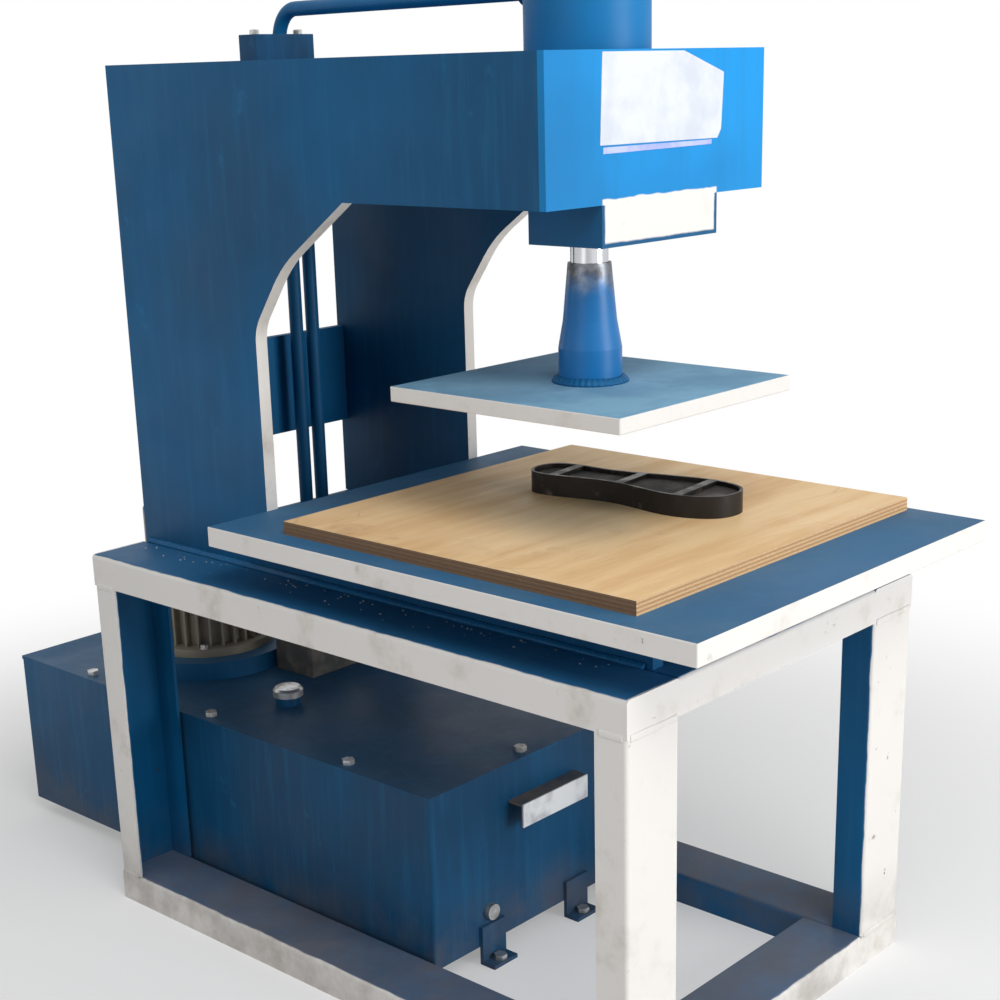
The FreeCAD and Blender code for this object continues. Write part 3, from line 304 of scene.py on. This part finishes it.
def straight_weld(name, start, end, first, second, radius, material, sweep=np.pi / 2):
    """A weld from start to end, whose arc turns from the direction `first` towards `second`."""
    steps = max(int(np.linalg.norm(np.subtract(end, start)) / RING_STEP), 8)
    path = np.linspace(start, end, steps)
    rows = weld_rows(path, np.tile(first, (steps, 1)), np.tile(second, (steps, 1)), radius, sweep=sweep)
    along = np.cross(first, second) @ np.subtract(end, start)
    rows = rows if along > 0 else rows[::-1]
    place_mesh(name, rows, tube_faces(steps, rows.shape[1]), material)


WELD_RADIUS, FOOT_WELD_INSET, BED_WELD_INSET = 0.0065, 0.01, 0.02
weld_finish = enamel("weld_enamel", dust_and_sheen_share=0.1, chipped=1.0)
plate_low, plate_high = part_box("side_plate_left")
bed_low, bed_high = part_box("bed_plate")
plate_sides = (("left", plate_low[0], -1.0), ("right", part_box("side_plate_right")[1][0], 1.0))
table_z = table_high[2]
for joint, z, up, back_y, inset in (("foot", table_z, 1.0, plate_high[1], FOOT_WELD_INSET),
                                    ("bed", bed_low[2], -1.0, bed_high[1], BED_WELD_INSET)):
    for side, x, out in plate_sides:
        start, end = (x, plate_low[1] + inset, z), (x, back_y - inset, z)
        straight_weld(f"{joint}_weld_{side}", start, end, (out, 0, 0), (0, 0, up), WELD_RADIUS, weld_finish)
SEAM_RADIUS, SEAM_CROWN, SEAM_INSET = 0.0042, 0.22, 0.006
for name in LEGS:
    leg_low, leg_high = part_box(name)
    x, out_x = (leg_low[0], -SEAM_CROWN) if "left" in name else (leg_high[0], SEAM_CROWN)
    y, out_y = (leg_low[1], -SEAM_CROWN) if "front" in name else (leg_high[1], SEAM_CROWN)
    run_x = leg_low[0] + SEAM_INSET, leg_high[0] - SEAM_INSET
    run_y = leg_low[1] + SEAM_INSET, leg_high[1] - SEAM_INSET
    for level, z in (("foot", leg_low[2]), ("head", leg_high[2])):
        for face, start, end, out in (("side", (x, run_y[0], z), (x, run_y[1], z), (out_x, 0, 0)),
                                      ("web", (run_x[0], y, z), (run_x[1], y, z), (0, out_y, 0))):
            straight_weld(f"{name}_{level}_seam_{face}", start, end, (0, 0, 1.0), out, SEAM_RADIUS,
                          channel_finish, np.pi)


# Spatter: drops of weld metal that froze on the table beside the left foot
# weld, small flat domes of different size.
def repeated(faces, size, count):
    """The faces of `count` equal shapes of `size` points each, one after the other."""
    return [[n * size + v for v in face] for n in range(count) for face in faces]


DOME_HIGH, DOME_TOP = 0.7, 0.08


def domes(centres, radii, rings=4, around=8):
    """Flat half balls, all in one array: p = c + r (sin a cos b, sin a sin b, DOME_HIGH cos a), with
    a from the small flat top to the rim and b round the axis."""
    a = np.linspace(DOME_TOP, np.pi / 2, rings)
    b = np.linspace(0, 2 * np.pi, around, endpoint=False)
    unit = np.stack([np.outer(np.sin(a), np.cos(b)), np.outer(np.sin(a), np.sin(b)),
                     DOME_HIGH * np.outer(np.cos(a), np.ones(around))], axis=-1)
    points = centres[:, None, None] + radii[:, None, None, None] * unit
    faces = [face[::-1] for face in tube_faces(rings, around)]
    return points, repeated(faces, rings * around, len(centres))


DROPS, DROP_RADIUS, DROP_SPREAD, DROP_START = 70, (0.0008, 0.0022), 0.022, 0.012
FRONT_CLEAR, BACK_CLEAR, EDGE_CLEAR = 0.05, 0.02, 0.02
draw = np.random.default_rng(7)
drop_y = draw.uniform(plate_low[1] + FRONT_CLEAR, plate_high[1] - BACK_CLEAR, DROPS)
drop_x = plate_low[0] - DROP_START - np.abs(draw.normal(0, DROP_SPREAD, DROPS))
drop_x = np.maximum(drop_x, table_low[0] + EDGE_CLEAR)
drop_r = draw.uniform(*DROP_RADIUS, DROPS)
points, faces = domes(np.stack([drop_x, drop_y, np.full(DROPS, table_z)], axis=1), drop_r)
spatter = Finish("spatter_metal")
tone = spatter.mottle(spatter.noise(30), 0.4, 0.7, rgb(150, 158, 165), rgb(60, 95, 130))
spatter.set(Base_Color=tone, Roughness=0.45, Metallic=0.4)
place_mesh("weld_spatter", points, faces, spatter.material)

# C-frame: two plates cut from 20 mm steel, blue on the flats, with the cut edge
# of the throat painted white by hand; the flats are made darker as painted shade,
# and the plates welded between them are made lighter as painted light.
head_low, head_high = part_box("head_bottom_plate")


def throat_white(f):
    """White on the cut edge of the throat, which faces neither left nor right: from the end of the
    slope under the head back to the upright edge, and from the bed up to the head."""
    edge = f.below(f.calc("ABSOLUTE", f.nx), 0.4, 0.2)
    behind_slope = f.above(f.y, head_high[1] - 0.004, 0.005)
    before_upright = f.below(f.y, bed_high[1] + 0.003, 0.003)
    over_bed = f.above(f.z, bed_low[2] + 0.002, 0.002)
    under_head = f.below(f.z, head_low[2] + 0.004, 0.004)
    return f.times(edge, before_upright, behind_slope, over_bed, under_head)


# Painted shade: tone 0.85 darkens the side plates' blue.
frame_shaded_finish = enamel("frame_enamel_painted_shade", throat_white, dust_and_sheen_share=0.3, chipped=0.3, tone=0.85)
dress(frame_shaded_finish, "side_plate_left", "side_plate_right")
# Painted light: tone 1.5 brightens the cross plate and head plates, which stand in shade.
column_lit_finish = enamel("column_enamel_painted_light", dust_and_sheen_share=0.3, tone=1.5)
dress(column_lit_finish, "column_cross_plate", "head_bottom_plate", "head_top_plate")

# Head front: a plate welded over the arm ends, in the same blue made much brighter
# as painted light. The white of the gland block was brushed a little way up onto it.
gland_low, gland_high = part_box("gland_block")
face_low, face_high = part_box("head_front_plate")
LAP_HIGH, LAP_WAVER = 0.006, 0.006


def lap_white(f):
    """White along the lower edge, as wide as the gland block."""
    height = f.calc("ADD", f.z, f.waver(30, 2.0, LAP_WAVER))
    lap = f.below(height, face_low[2] + LAP_HIGH, 0.002)
    wide = f.below(f.calc("ABSOLUTE", f.x), gland_high[0] - 0.003, 0.004)
    return f.times(lap, wide)


# Painted light: tone 2.5 brightens the front plate's blue to the lit front.
dress(enamel("head_enamel_painted_light", lap_white, dust_and_sheen_share=0.1, chipped=0.25, tone=2.5), "head_front_plate")

# Gland block: a machined block that closes the cylinder under the head. Its
# front is brushed white, short of the edges, where the blue coat shows.
RIM_SIDE, RIM_FOOT, RIM_WAVER = 0.007, 0.004, 0.003


def front_white(f):
    """White on the face that lies level with the head's front, inside a blue rim."""
    waver = f.waver(40, 4.0, RIM_WAVER)
    face = f.below(f.y, gland_low[1] + 0.001, 0.002)
    side = f.below(f.calc("ADD", f.calc("ABSOLUTE", f.x), waver), gland_high[0] - RIM_SIDE, 0.003)
    foot = f.above(f.calc("ADD", f.z, waver), gland_low[2] + RIM_FOOT, 0.003)
    return f.times(face, side, foot)


dress(enamel("gland_enamel", front_white, dust_and_sheen_share=0.1, chipped=0.4), "gland_block")

# Card: a bare white paper card stuck to the head front, cut slantwise at one
# corner, and a thin strip of lilac film below it.
CARD_EDGE = np.array([(-0.116, -0.0025), (0.044, -0.0025), (0.129, -0.029), (0.124, -0.098),
                      (0.116, -0.109), (-0.121, -0.108)])
STRIP_EDGE = np.array([(-0.115, -0.1105), (0.104, -0.1105), (0.104, -0.116), (-0.115, -0.118)])
CARD_THICK, STRIP_THICK = 0.0008, 0.0005


def card(name, edge, thick, material):
    """A flat card on the head's front face: its outline, as x and the height over the head's top
    edge, drawn out by `thick` to the front."""
    x, z = edge[:, 0], edge[:, 1] + face_high[2]
    layers = [np.stack([x, np.full(len(x), face_low[1] - out), z], axis=1) for out in (0, thick)]
    faces = [face[::-1] for face in tube_faces(2, len(edge))]
    place_mesh(name, layers, faces, material, smooth=False)


paper = Finish("card_paper")
fade = paper.mottle(paper.noise(20, 6.0), 0.4, 0.7, rgb(206, 210, 217), rgb(190, 196, 206))
paper.set(Base_Color=fade, Roughness=0.55, Normal=paper.bump(paper.noise(60, 4.0), 0.15, 0.0008))
card("blank_card", CARD_EDGE, CARD_THICK, paper.material)
lilac = Finish("strip_film")
tint = lilac.mottle(lilac.noise(40, 4.0), 0.4, 0.7, rgb(176, 184, 236), rgb(150, 160, 222))
lilac.set(Base_Color=tint, Roughness=0.4)
card("lilac_strip", STRIP_EDGE, STRIP_THICK, lilac.material)


# Bed and platen: thick flat plates, blue on top, with white brushed round
# their edges; the platen hangs on the ram and moves with it.
def rim_white(f):
    """White on the upright edges of a level plate."""
    return f.below(f.calc("ABSOLUTE", f.nz), 0.75, 0.10)


# Pale sky blue on the platen's top: a painted reflection of the sky, with some dust.
PLATEN_SHEEN_AND_DUST = rgb(128, 172, 198)
dress(enamel("bed_enamel", rim_white, dust_and_sheen_share=0.5, chipped=1.0), "bed_plate")
dress(enamel("platen_enamel", rim_white, dust_and_sheen_share=1.3, chipped=0.8, dust_and_sheen=PLATEN_SHEEN_AND_DUST), "platen")

# Cutting board: 18 mm plywood with a smooth face veneer, rubbed and marked by
# dies; the plies show on its edges, and the left one is painted dark as shade.
VENEER, VENEER_DEEP, VENEER_RUBBED = rgb(238, 202, 150), rgb(222, 180, 128), rgb(242, 212, 168)
PORE, OIL_STAIN, DIE_MARK = rgb(164, 118, 74), rgb(176, 128, 86), rgb(110, 74, 44)
PLY_PALE, PLY_DEEP, PLY_FIBRE = rgb(214, 180, 134), rgb(182, 138, 94), rgb(140, 102, 68)
PLY_SHADE, PLIES = rgb(74, 50, 34), 7
board_low, board_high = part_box("cutting_board")
wood = Finish("plywood")
figure = wood.noise(1.0, 6.0, 0.6, wood.stretched((3.0, 26, 26)))
veneer = wood.mottle(figure, 0.35, 0.68, VENEER, VENEER_DEEP)
pores = wood.noise(1.0, 4.0, 0.7, wood.stretched((14, 420, 300)))
veneer = wood.blend(wood.span(pores, 0.56, 0.74, 0, 0.35), veneer, PORE)
worn = wood.span(wood.noise(3.2, 4.0, 0.6), 0.45, 0.70, 0, 0.55)
veneer = wood.blend(worn, veneer, VENEER_RUBBED)
stain = wood.span(wood.noise(5.5, 6.0, 0.62), 0.60, 0.74, 0, 0.5)
veneer = wood.blend(stain, veneer, OIL_STAIN)
cells = wood.put("TexVoronoi", {"Vector": wood.place, "Scale": 7.0}, feature="DISTANCE_TO_EDGE")
marks = wood.times(wood.below(cells, 0.004, 0.008), wood.span(wood.noise(4, 3.0), 0.52, 0.62))
veneer = wood.blend(wood.times(marks, 0.16), veneer, DIE_MARK)
ply_thick = (board_high[2] - board_low[2]) / PLIES
ply = wood.calc("FRACT", wood.calc("DIVIDE", wood.z, ply_thick * 2))
fibre = wood.noise(1.0, 5.0, 0.65, wood.stretched((160, 160, 900)))
core = wood.mottle(ply, 0.44, 0.56, PLY_PALE, PLY_DEEP)
core = wood.blend(wood.span(fibre, 0.4, 0.7, 0, 0.45), core, PLY_FIBRE)
# Painted shade: the edges that face left are darkened.
left_edge_shade = wood.span(wood.nx, -0.3, -0.7)
core = wood.blend(wood.times(left_edge_shade, 0.8), core, PLY_SHADE)
flat = wood.above(wood.calc("ABSOLUTE", wood.nz), 0.4, 0.2)
wood.set(Base_Color=wood.blend(flat, core, veneer), Roughness=wood.span(figure, 0.3, 0.7, 0.50, 0.66),
         Normal=wood.bump(wood.calc("SUBTRACT", pores, marks), 0.25, 0.0006))
dress(wood.material, "cutting_board")

# Sole die: a knife band bent to the sole, blackened by oil and handling, with
# braces across and a dark ejector pad between them.
black = Finish("die_black")
tone = black.mottle(black.noise(26, 7.0, 0.65), 0.55, 0.75, rgb(30, 25, 22), rgb(92, 86, 80))
black.set(Base_Color=tone, Roughness=black.span(black.noise(40), 0.3, 0.7, 0.32, 0.6), Metallic=0.5,
          Normal=black.bump(black.noise(90, 6.0), 0.2, 0.0008))
dress(black.material, "sole_die", "die_braces")
foam = Finish("ejector_rubber")
tone = foam.mottle(foam.noise(18, 6.0), 0.45, 0.72, rgb(38, 32, 29), rgb(104, 96, 90))
foam.set(Base_Color=tone, Roughness=0.8, Normal=foam.bump(foam.noise(260, 4.0), 0.4, 0.001))
dress(foam.material, "die_ejector_pad")

# Ram: a turned boss welded to the platen and painted with it, rubbed bare near
# its top, and a hard-chromed rod above it.
BARE_FROM, BARE_FULL, BARE_WAVER = 0.045, 0.012, 0.05
boss_low, boss_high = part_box("ram_boss")
boss = Finish("boss_enamel_painted_light")
# Painted light: the boss's two blues are a brighter copy of the platen's coat.
paint = boss.mottle(boss.noise(6, 3.0), 0.35, 0.65, rgb(6, 100, 160), rgb(10, 112, 178))
height = boss.calc("ADD", boss.z, boss.waver(22, 6.0, BARE_WAVER, 0.65))
bare = boss.span(height, boss_high[2] - BARE_FROM, boss_high[2] - BARE_FULL)
steel = boss.mottle(boss.noise(60, 5.0), 0.4, 0.65, rgb(122, 126, 132), rgb(84, 84, 88))
boss.set(Base_Color=boss.blend(bare, paint, steel), Metallic=boss.times(bare, 0.8),
         Roughness=boss.span(boss.noise(9), 0.3, 0.7, 0.26, 0.42), Specular_IOR_Level=0.35,
         Normal=boss.bump(boss.noise(110, 3.0), 0.12, 0.0006))
dress(boss.material, "ram_boss")
chrome = Finish("chromed_steel")
streaks = chrome.noise(1.0, 3.0, 0.5, chrome.stretched((55, 55, 7)))
tone = chrome.mottle(streaks, 0.4, 0.7, rgb(214, 216, 220), rgb(178, 180, 184))
chrome.set(Base_Color=tone, Metallic=1.0, Roughness=chrome.span(streaks, 0.3, 0.7, 0.10, 0.2),
           Normal=chrome.bump(streaks, 0.03, 0.0002))
dress(chrome.material, "ram_rod")
BOSS_WELD_RADIUS, BOSS_WELD_PITCH, BOSS_WELD_RINGS = 0.008, 0.007, 241
boss_foot = ((boss_low[0] + boss_high[0]) / 2, (boss_low[1] + boss_high[1]) / 2, boss_low[2])
turn = np.linspace(0, 2 * np.pi, BOSS_WELD_RINGS)
outward = np.stack([np.cos(turn), np.sin(turn), np.zeros_like(turn)], axis=1)
upward = np.tile((0, 0, 1.0), (BOSS_WELD_RINGS, 1))
foot_ring = boss_foot + (boss_high[0] - boss_low[0]) / 2 * outward
rows = weld_rows(foot_ring, outward, upward, BOSS_WELD_RADIUS, BOSS_WELD_PITCH)
rows[-1] = rows[0]
place_mesh("boss_weld", rows[::-1], tube_faces(len(rows), rows.shape[1]), weld_finish, "ram")

# Cylinder and pipes: a thick drawn tube through the head with a turned cap,
# whose blue is made brighter as painted light; unions and pipes are brushed
# with the same blue, the clamp darker.
# Painted light: tone 1.6 brightens the barrel and cap.
dress(enamel("cylinder_enamel_painted_light", dust_and_sheen_share=0.2, chipped=0.3, tone=1.6), "cylinder_barrel", "cylinder_cap")
pipe_finish = enamel("pipe_enamel", dust_and_sheen_share=0.15, chipped=0.6, tone=1.1)
dress(pipe_finish, "pipe_cap_end", "pipe_rod_end", "port_unions")
dress(enamel("clamp_enamel", dust_and_sheen_share=0.3, chipped=0.5, tone=0.55), "pipe_clamp")

# Bright hardware: hex bolts, nuts, plugs and shafts of zinc-plated steel, dull
# and finger-marked. Two bolts hold the pipe clamp down on the head.
zinc = Finish("zinc_steel")
haze = zinc.noise(45, 6.0, 0.6)
tone = zinc.mottle(haze, 0.35, 0.7, rgb(206, 208, 208), rgb(142, 140, 134))
zinc.set(Base_Color=tone, Metallic=0.85, Roughness=zinc.span(haze, 0.3, 0.7, 0.28, 0.5),
         Normal=zinc.bump(haze, 0.12, 0.0005))
dress(zinc.material, "lid_bolts", "foot_bolts", "filler_cap", "pipe_nuts", "motor_rotor", "drain_plug",
      "shaft_coupling", "pump_shaft", "suction_strainer")
HEX, HEX_CHAMFER = 6, 0.82


def hex_heads(name, centres, flats, height):
    """Hex heads on +Z: rings at the foot, under the chamfer and on top, r = flats / sqrt 3."""
    t = np.linspace(0, 2 * np.pi, HEX, endpoint=False)
    r = flats / math.sqrt(3) * np.array([1.0, 1.0, HEX_CHAMFER])
    z = height * np.array([0, HEX_CHAMFER, 1.0])
    unit = np.stack([np.outer(r, np.cos(t)), np.outer(r, np.sin(t)), np.outer(z, np.ones(HEX))], axis=-1)
    points = np.asarray(centres, float)[:, None, None] + unit
    faces = repeated(tube_faces(len(r), HEX), len(r) * HEX, len(centres))
    place_mesh(name, points, faces, zinc.material, smooth=False)


CLAMP_BOLT_INSET, CLAMP_BOLT_FLATS, BOLT_HEAD_HIGH = 0.014, 0.013, 0.007
clamp_low, clamp_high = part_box("pipe_clamp")
clamp_y = (clamp_low[1] + clamp_high[1]) / 2
bolt_xs = (clamp_low[0] + CLAMP_BOLT_INSET, clamp_high[0] - CLAMP_BOLT_INSET)
hex_heads("clamp_bolts", [(x, clamp_y, clamp_high[2]) for x in bolt_xs], CLAMP_BOLT_FLATS, BOLT_HEAD_HIGH)

# Oil tank: a welded sheet box with a bolted lid, in the same blue made darker
# as painted shade under the table; dirt gathers low down on the sides. The pull
# handle's front leaf is white.
# Painted shade: the tone 0.62 darkens the tank, its feet and its lid.
TANK_GRIME, TANK_SHADE_TONE = (0.14, 0.03), 0.62
tank_shaded_finish = enamel("tank_enamel_painted_shade", dust_and_sheen_share=0.2, chipped=0.6, grime=TANK_GRIME, tone=TANK_SHADE_TONE)
dress(tank_shaded_finish, "tank_body", "tank_feet")
dress(enamel("lid_enamel_painted_shade", dust_and_sheen_share=0.2, chipped=0.5, tone=TANK_SHADE_TONE), "tank_lid", "filler_neck")
grip = Finish("handle_paint")
top = grip.mottle(grip.noise(30, 6.0), 0.4, 0.7, rgb(112, 100, 88), rgb(70, 78, 88))
front = grip.mottle(grip.noise(24, 6.0), 0.5, 0.8, rgb(226, 228, 230), rgb(170, 172, 176))
on_front = grip.below(grip.y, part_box("tank_handle")[0][1] + 0.001, 0.002)
grip.set(Base_Color=grip.blend(on_front, top, front), Roughness=0.5,
         Normal=grip.bump(grip.noise(80), 0.15, 0.0006))
dress(grip.material, "tank_handle")

# Motor: a finned cast shell on a blue ring, grey-beige and dusty, with its fan
# cowl and terminal box, held down by four bolts through its flange.
motor = Finish("motor_paint")
tone = motor.mottle(motor.noise(8, 6.0, 0.62), 0.35, 0.72, rgb(146, 138, 120), rgb(104, 100, 92))
tone = motor.blend(motor.span(motor.nz, 0.5, 0.9, 0, 0.5), tone, rgb(160, 150, 132))
motor.set(Base_Color=tone, Roughness=motor.span(motor.noise(20), 0.3, 0.7, 0.5, 0.7),
          Normal=motor.bump(motor.noise(140, 5.0, 0.6), 0.3, 0.0008))
dress(motor.material, "motor_shell", "motor_end_shield", "fan_cowl", "terminal_box")
dress(enamel("ring_enamel", dust_and_sheen_share=0.4, chipped=0.5, tone=0.8), "motor_adaptor")
FLANGE_BOLTS, FLANGE_BOLT_RADIUS, FLANGE_BOLT_FLATS, FLANGE_THICK = 4, 0.1025, 0.012, 0.014
shell_low, shell_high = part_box("motor_shell")
ring_low, ring_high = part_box("motor_adaptor")
turn = np.linspace(0, 2 * np.pi, FLANGE_BOLTS, endpoint=False) + np.pi / FLANGE_BOLTS
bolt_x = (shell_low[0] + shell_high[0]) / 2 + FLANGE_BOLT_RADIUS * np.cos(turn)
bolt_y = (ring_low[1] + ring_high[1]) / 2 + FLANGE_BOLT_RADIUS * np.sin(turn)
bolt_z = np.full(FLANGE_BOLTS, shell_low[2] + FLANGE_THICK)
hex_heads("flange_bolts", np.stack([bolt_x, bolt_y, bolt_z], axis=1), FLANGE_BOLT_FLATS, BOLT_HEAD_HIGH)

# Iron castings: the valve block, the pump and its bell under the lid, and the
# piston in its cylinder, all of plain grey iron without paint.
iron = Finish("cast_iron")
tone = iron.mottle(iron.noise(30, 6.0), 0.4, 0.7, rgb(62, 62, 62), rgb(96, 92, 88))
iron.set(Base_Color=tone, Roughness=0.65, Metallic=0.3,
         Normal=iron.bump(iron.noise(180, 5.0), 0.35, 0.0008))
dress(iron.material, "valve_block", "pump_body", "pump_bell", "piston")

# Seals and fan: the piston seal and rod wiper are moulded in oil-proof rubber,
# the motor's fan in a black plastic much like it.
rubber = Finish("oil_rubber")
tone = rubber.mottle(rubber.noise(40), 0.4, 0.7, rgb(26, 26, 26), rgb(48, 47, 46))
rubber.set(Base_Color=tone, Roughness=0.7, Normal=rubber.bump(rubber.noise(200), 0.2, 0.0005))
dress(rubber.material, "piston_seal", "rod_wiper", "motor_fan")

# Guide bush: a bronze sleeve turned to size and pressed into the gland block,
# in which the rod slides.
bronze = Finish("bush_bronze")
tone = bronze.mottle(bronze.noise(50), 0.4, 0.7, rgb(184, 136, 74), rgb(140, 100, 56))
bronze.set(Base_Color=tone, Metallic=1.0, Roughness=0.35,
           Normal=bronze.bump(bronze.noise(150), 0.1, 0.0004))
dress(bronze.material, "rod_bush")

# Studio: a pale floor that runs out to white under a white sky, soft light from
# the front and above, and a low fill from the left.
FLOOR_REACH, FLOOR_GREY, SKY_LIGHT = 30.0, (0.80, 0.80, 0.80, 1), 0.36
WHITE_FROM, WHITE_FULL, GLOW_NEAR = 0.8, 2.0, 0.30
floor_mesh = bpy.data.meshes.new("floor")
corners = [(x * FLOOR_REACH, y * FLOOR_REACH, 0) for x, y in ((-1, -1), (1, -1), (1, 1), (-1, 1))]
floor_mesh.from_pydata(corners, [], [(0, 1, 2, 3)])
floor = bpy.data.objects.new("floor", floor_mesh)
bpy.context.collection.objects.link(floor)
ground = Finish("pale_floor")
ground.set(Base_Color=FLOOR_GREY, Roughness=0.9)
glow = ground.put("Emission", {"Color": (1, 1, 1, 1)})
ray = ground.nodes.new("ShaderNodeLightPath")
distance = ground.put("VectorMath", {0: ground.place}, 1, operation="LENGTH")
seen = ground.calc("MAXIMUM", ray.outputs["Is Camera Ray"], ray.outputs["Is Glossy Ray"])
share = ground.times(seen, ground.span(distance, WHITE_FROM, WHITE_FULL, GLOW_NEAR, 1.0))
surface = ground.put("MixShader", {0: share, 1: ground.shader.outputs[0], 2: glow})
ground.feed(ground.nodes["Material Output"].inputs["Surface"], surface)
floor_mesh.materials.append(ground.material)

sky = bpy.data.worlds.new("studio")
bpy.context.scene.world = sky
sky.use_nodes = True
sky_nodes, sky_links = sky.node_tree.nodes, sky.node_tree.links
ray = sky_nodes.new("ShaderNodeLightPath")
seen = sky_nodes.new("ShaderNodeMath")
seen.operation = "MAXIMUM"
sky_links.new(ray.outputs["Is Camera Ray"], seen.inputs[0])
sky_links.new(ray.outputs["Is Glossy Ray"], seen.inputs[1])
strength = sky_nodes.new("ShaderNodeMapRange")
strength.inputs["To Min"].default_value = SKY_LIGHT
strength.inputs["To Max"].default_value = 1.0
sky_links.new(seen.outputs[0], strength.inputs["Value"])
sky_links.new(strength.outputs[0], sky_nodes["Background"].inputs["Strength"])
sky_nodes["Background"].inputs["Color"].default_value = (1.0, 1.0, 1.0, 1)


def soft_light(name, place, aim, size, watts):
    """A round lamp at `place` that faces the point `aim`."""
    lamp = bpy.data.lights.new(name, "AREA")
    lamp.shape, lamp.size, lamp.energy = "DISK", size, watts
    lamp_object = bpy.data.objects.new(name, lamp)
    back = np.subtract(place, aim) / np.linalg.norm(np.subtract(place, aim))
    across = np.cross((0, 0, 1), back)
    across /= np.linalg.norm(across)
    lamp_object.matrix_world = standing(across, np.cross(back, across), back, place)
    bpy.context.collection.objects.link(lamp_object)


soft_light("key", (1.0, -4.4, 1.3), aim=(0, -0.2, 0.6), size=2.2, watts=104)
soft_light("top", (-1.2, -2.4, 3.6), aim=(0, -0.3, 0.6), size=2.4, watts=82)
soft_light("fill", (-3.8, -0.6, 1.5), aim=(0, 0, 0.6), size=2.4, watts=16)
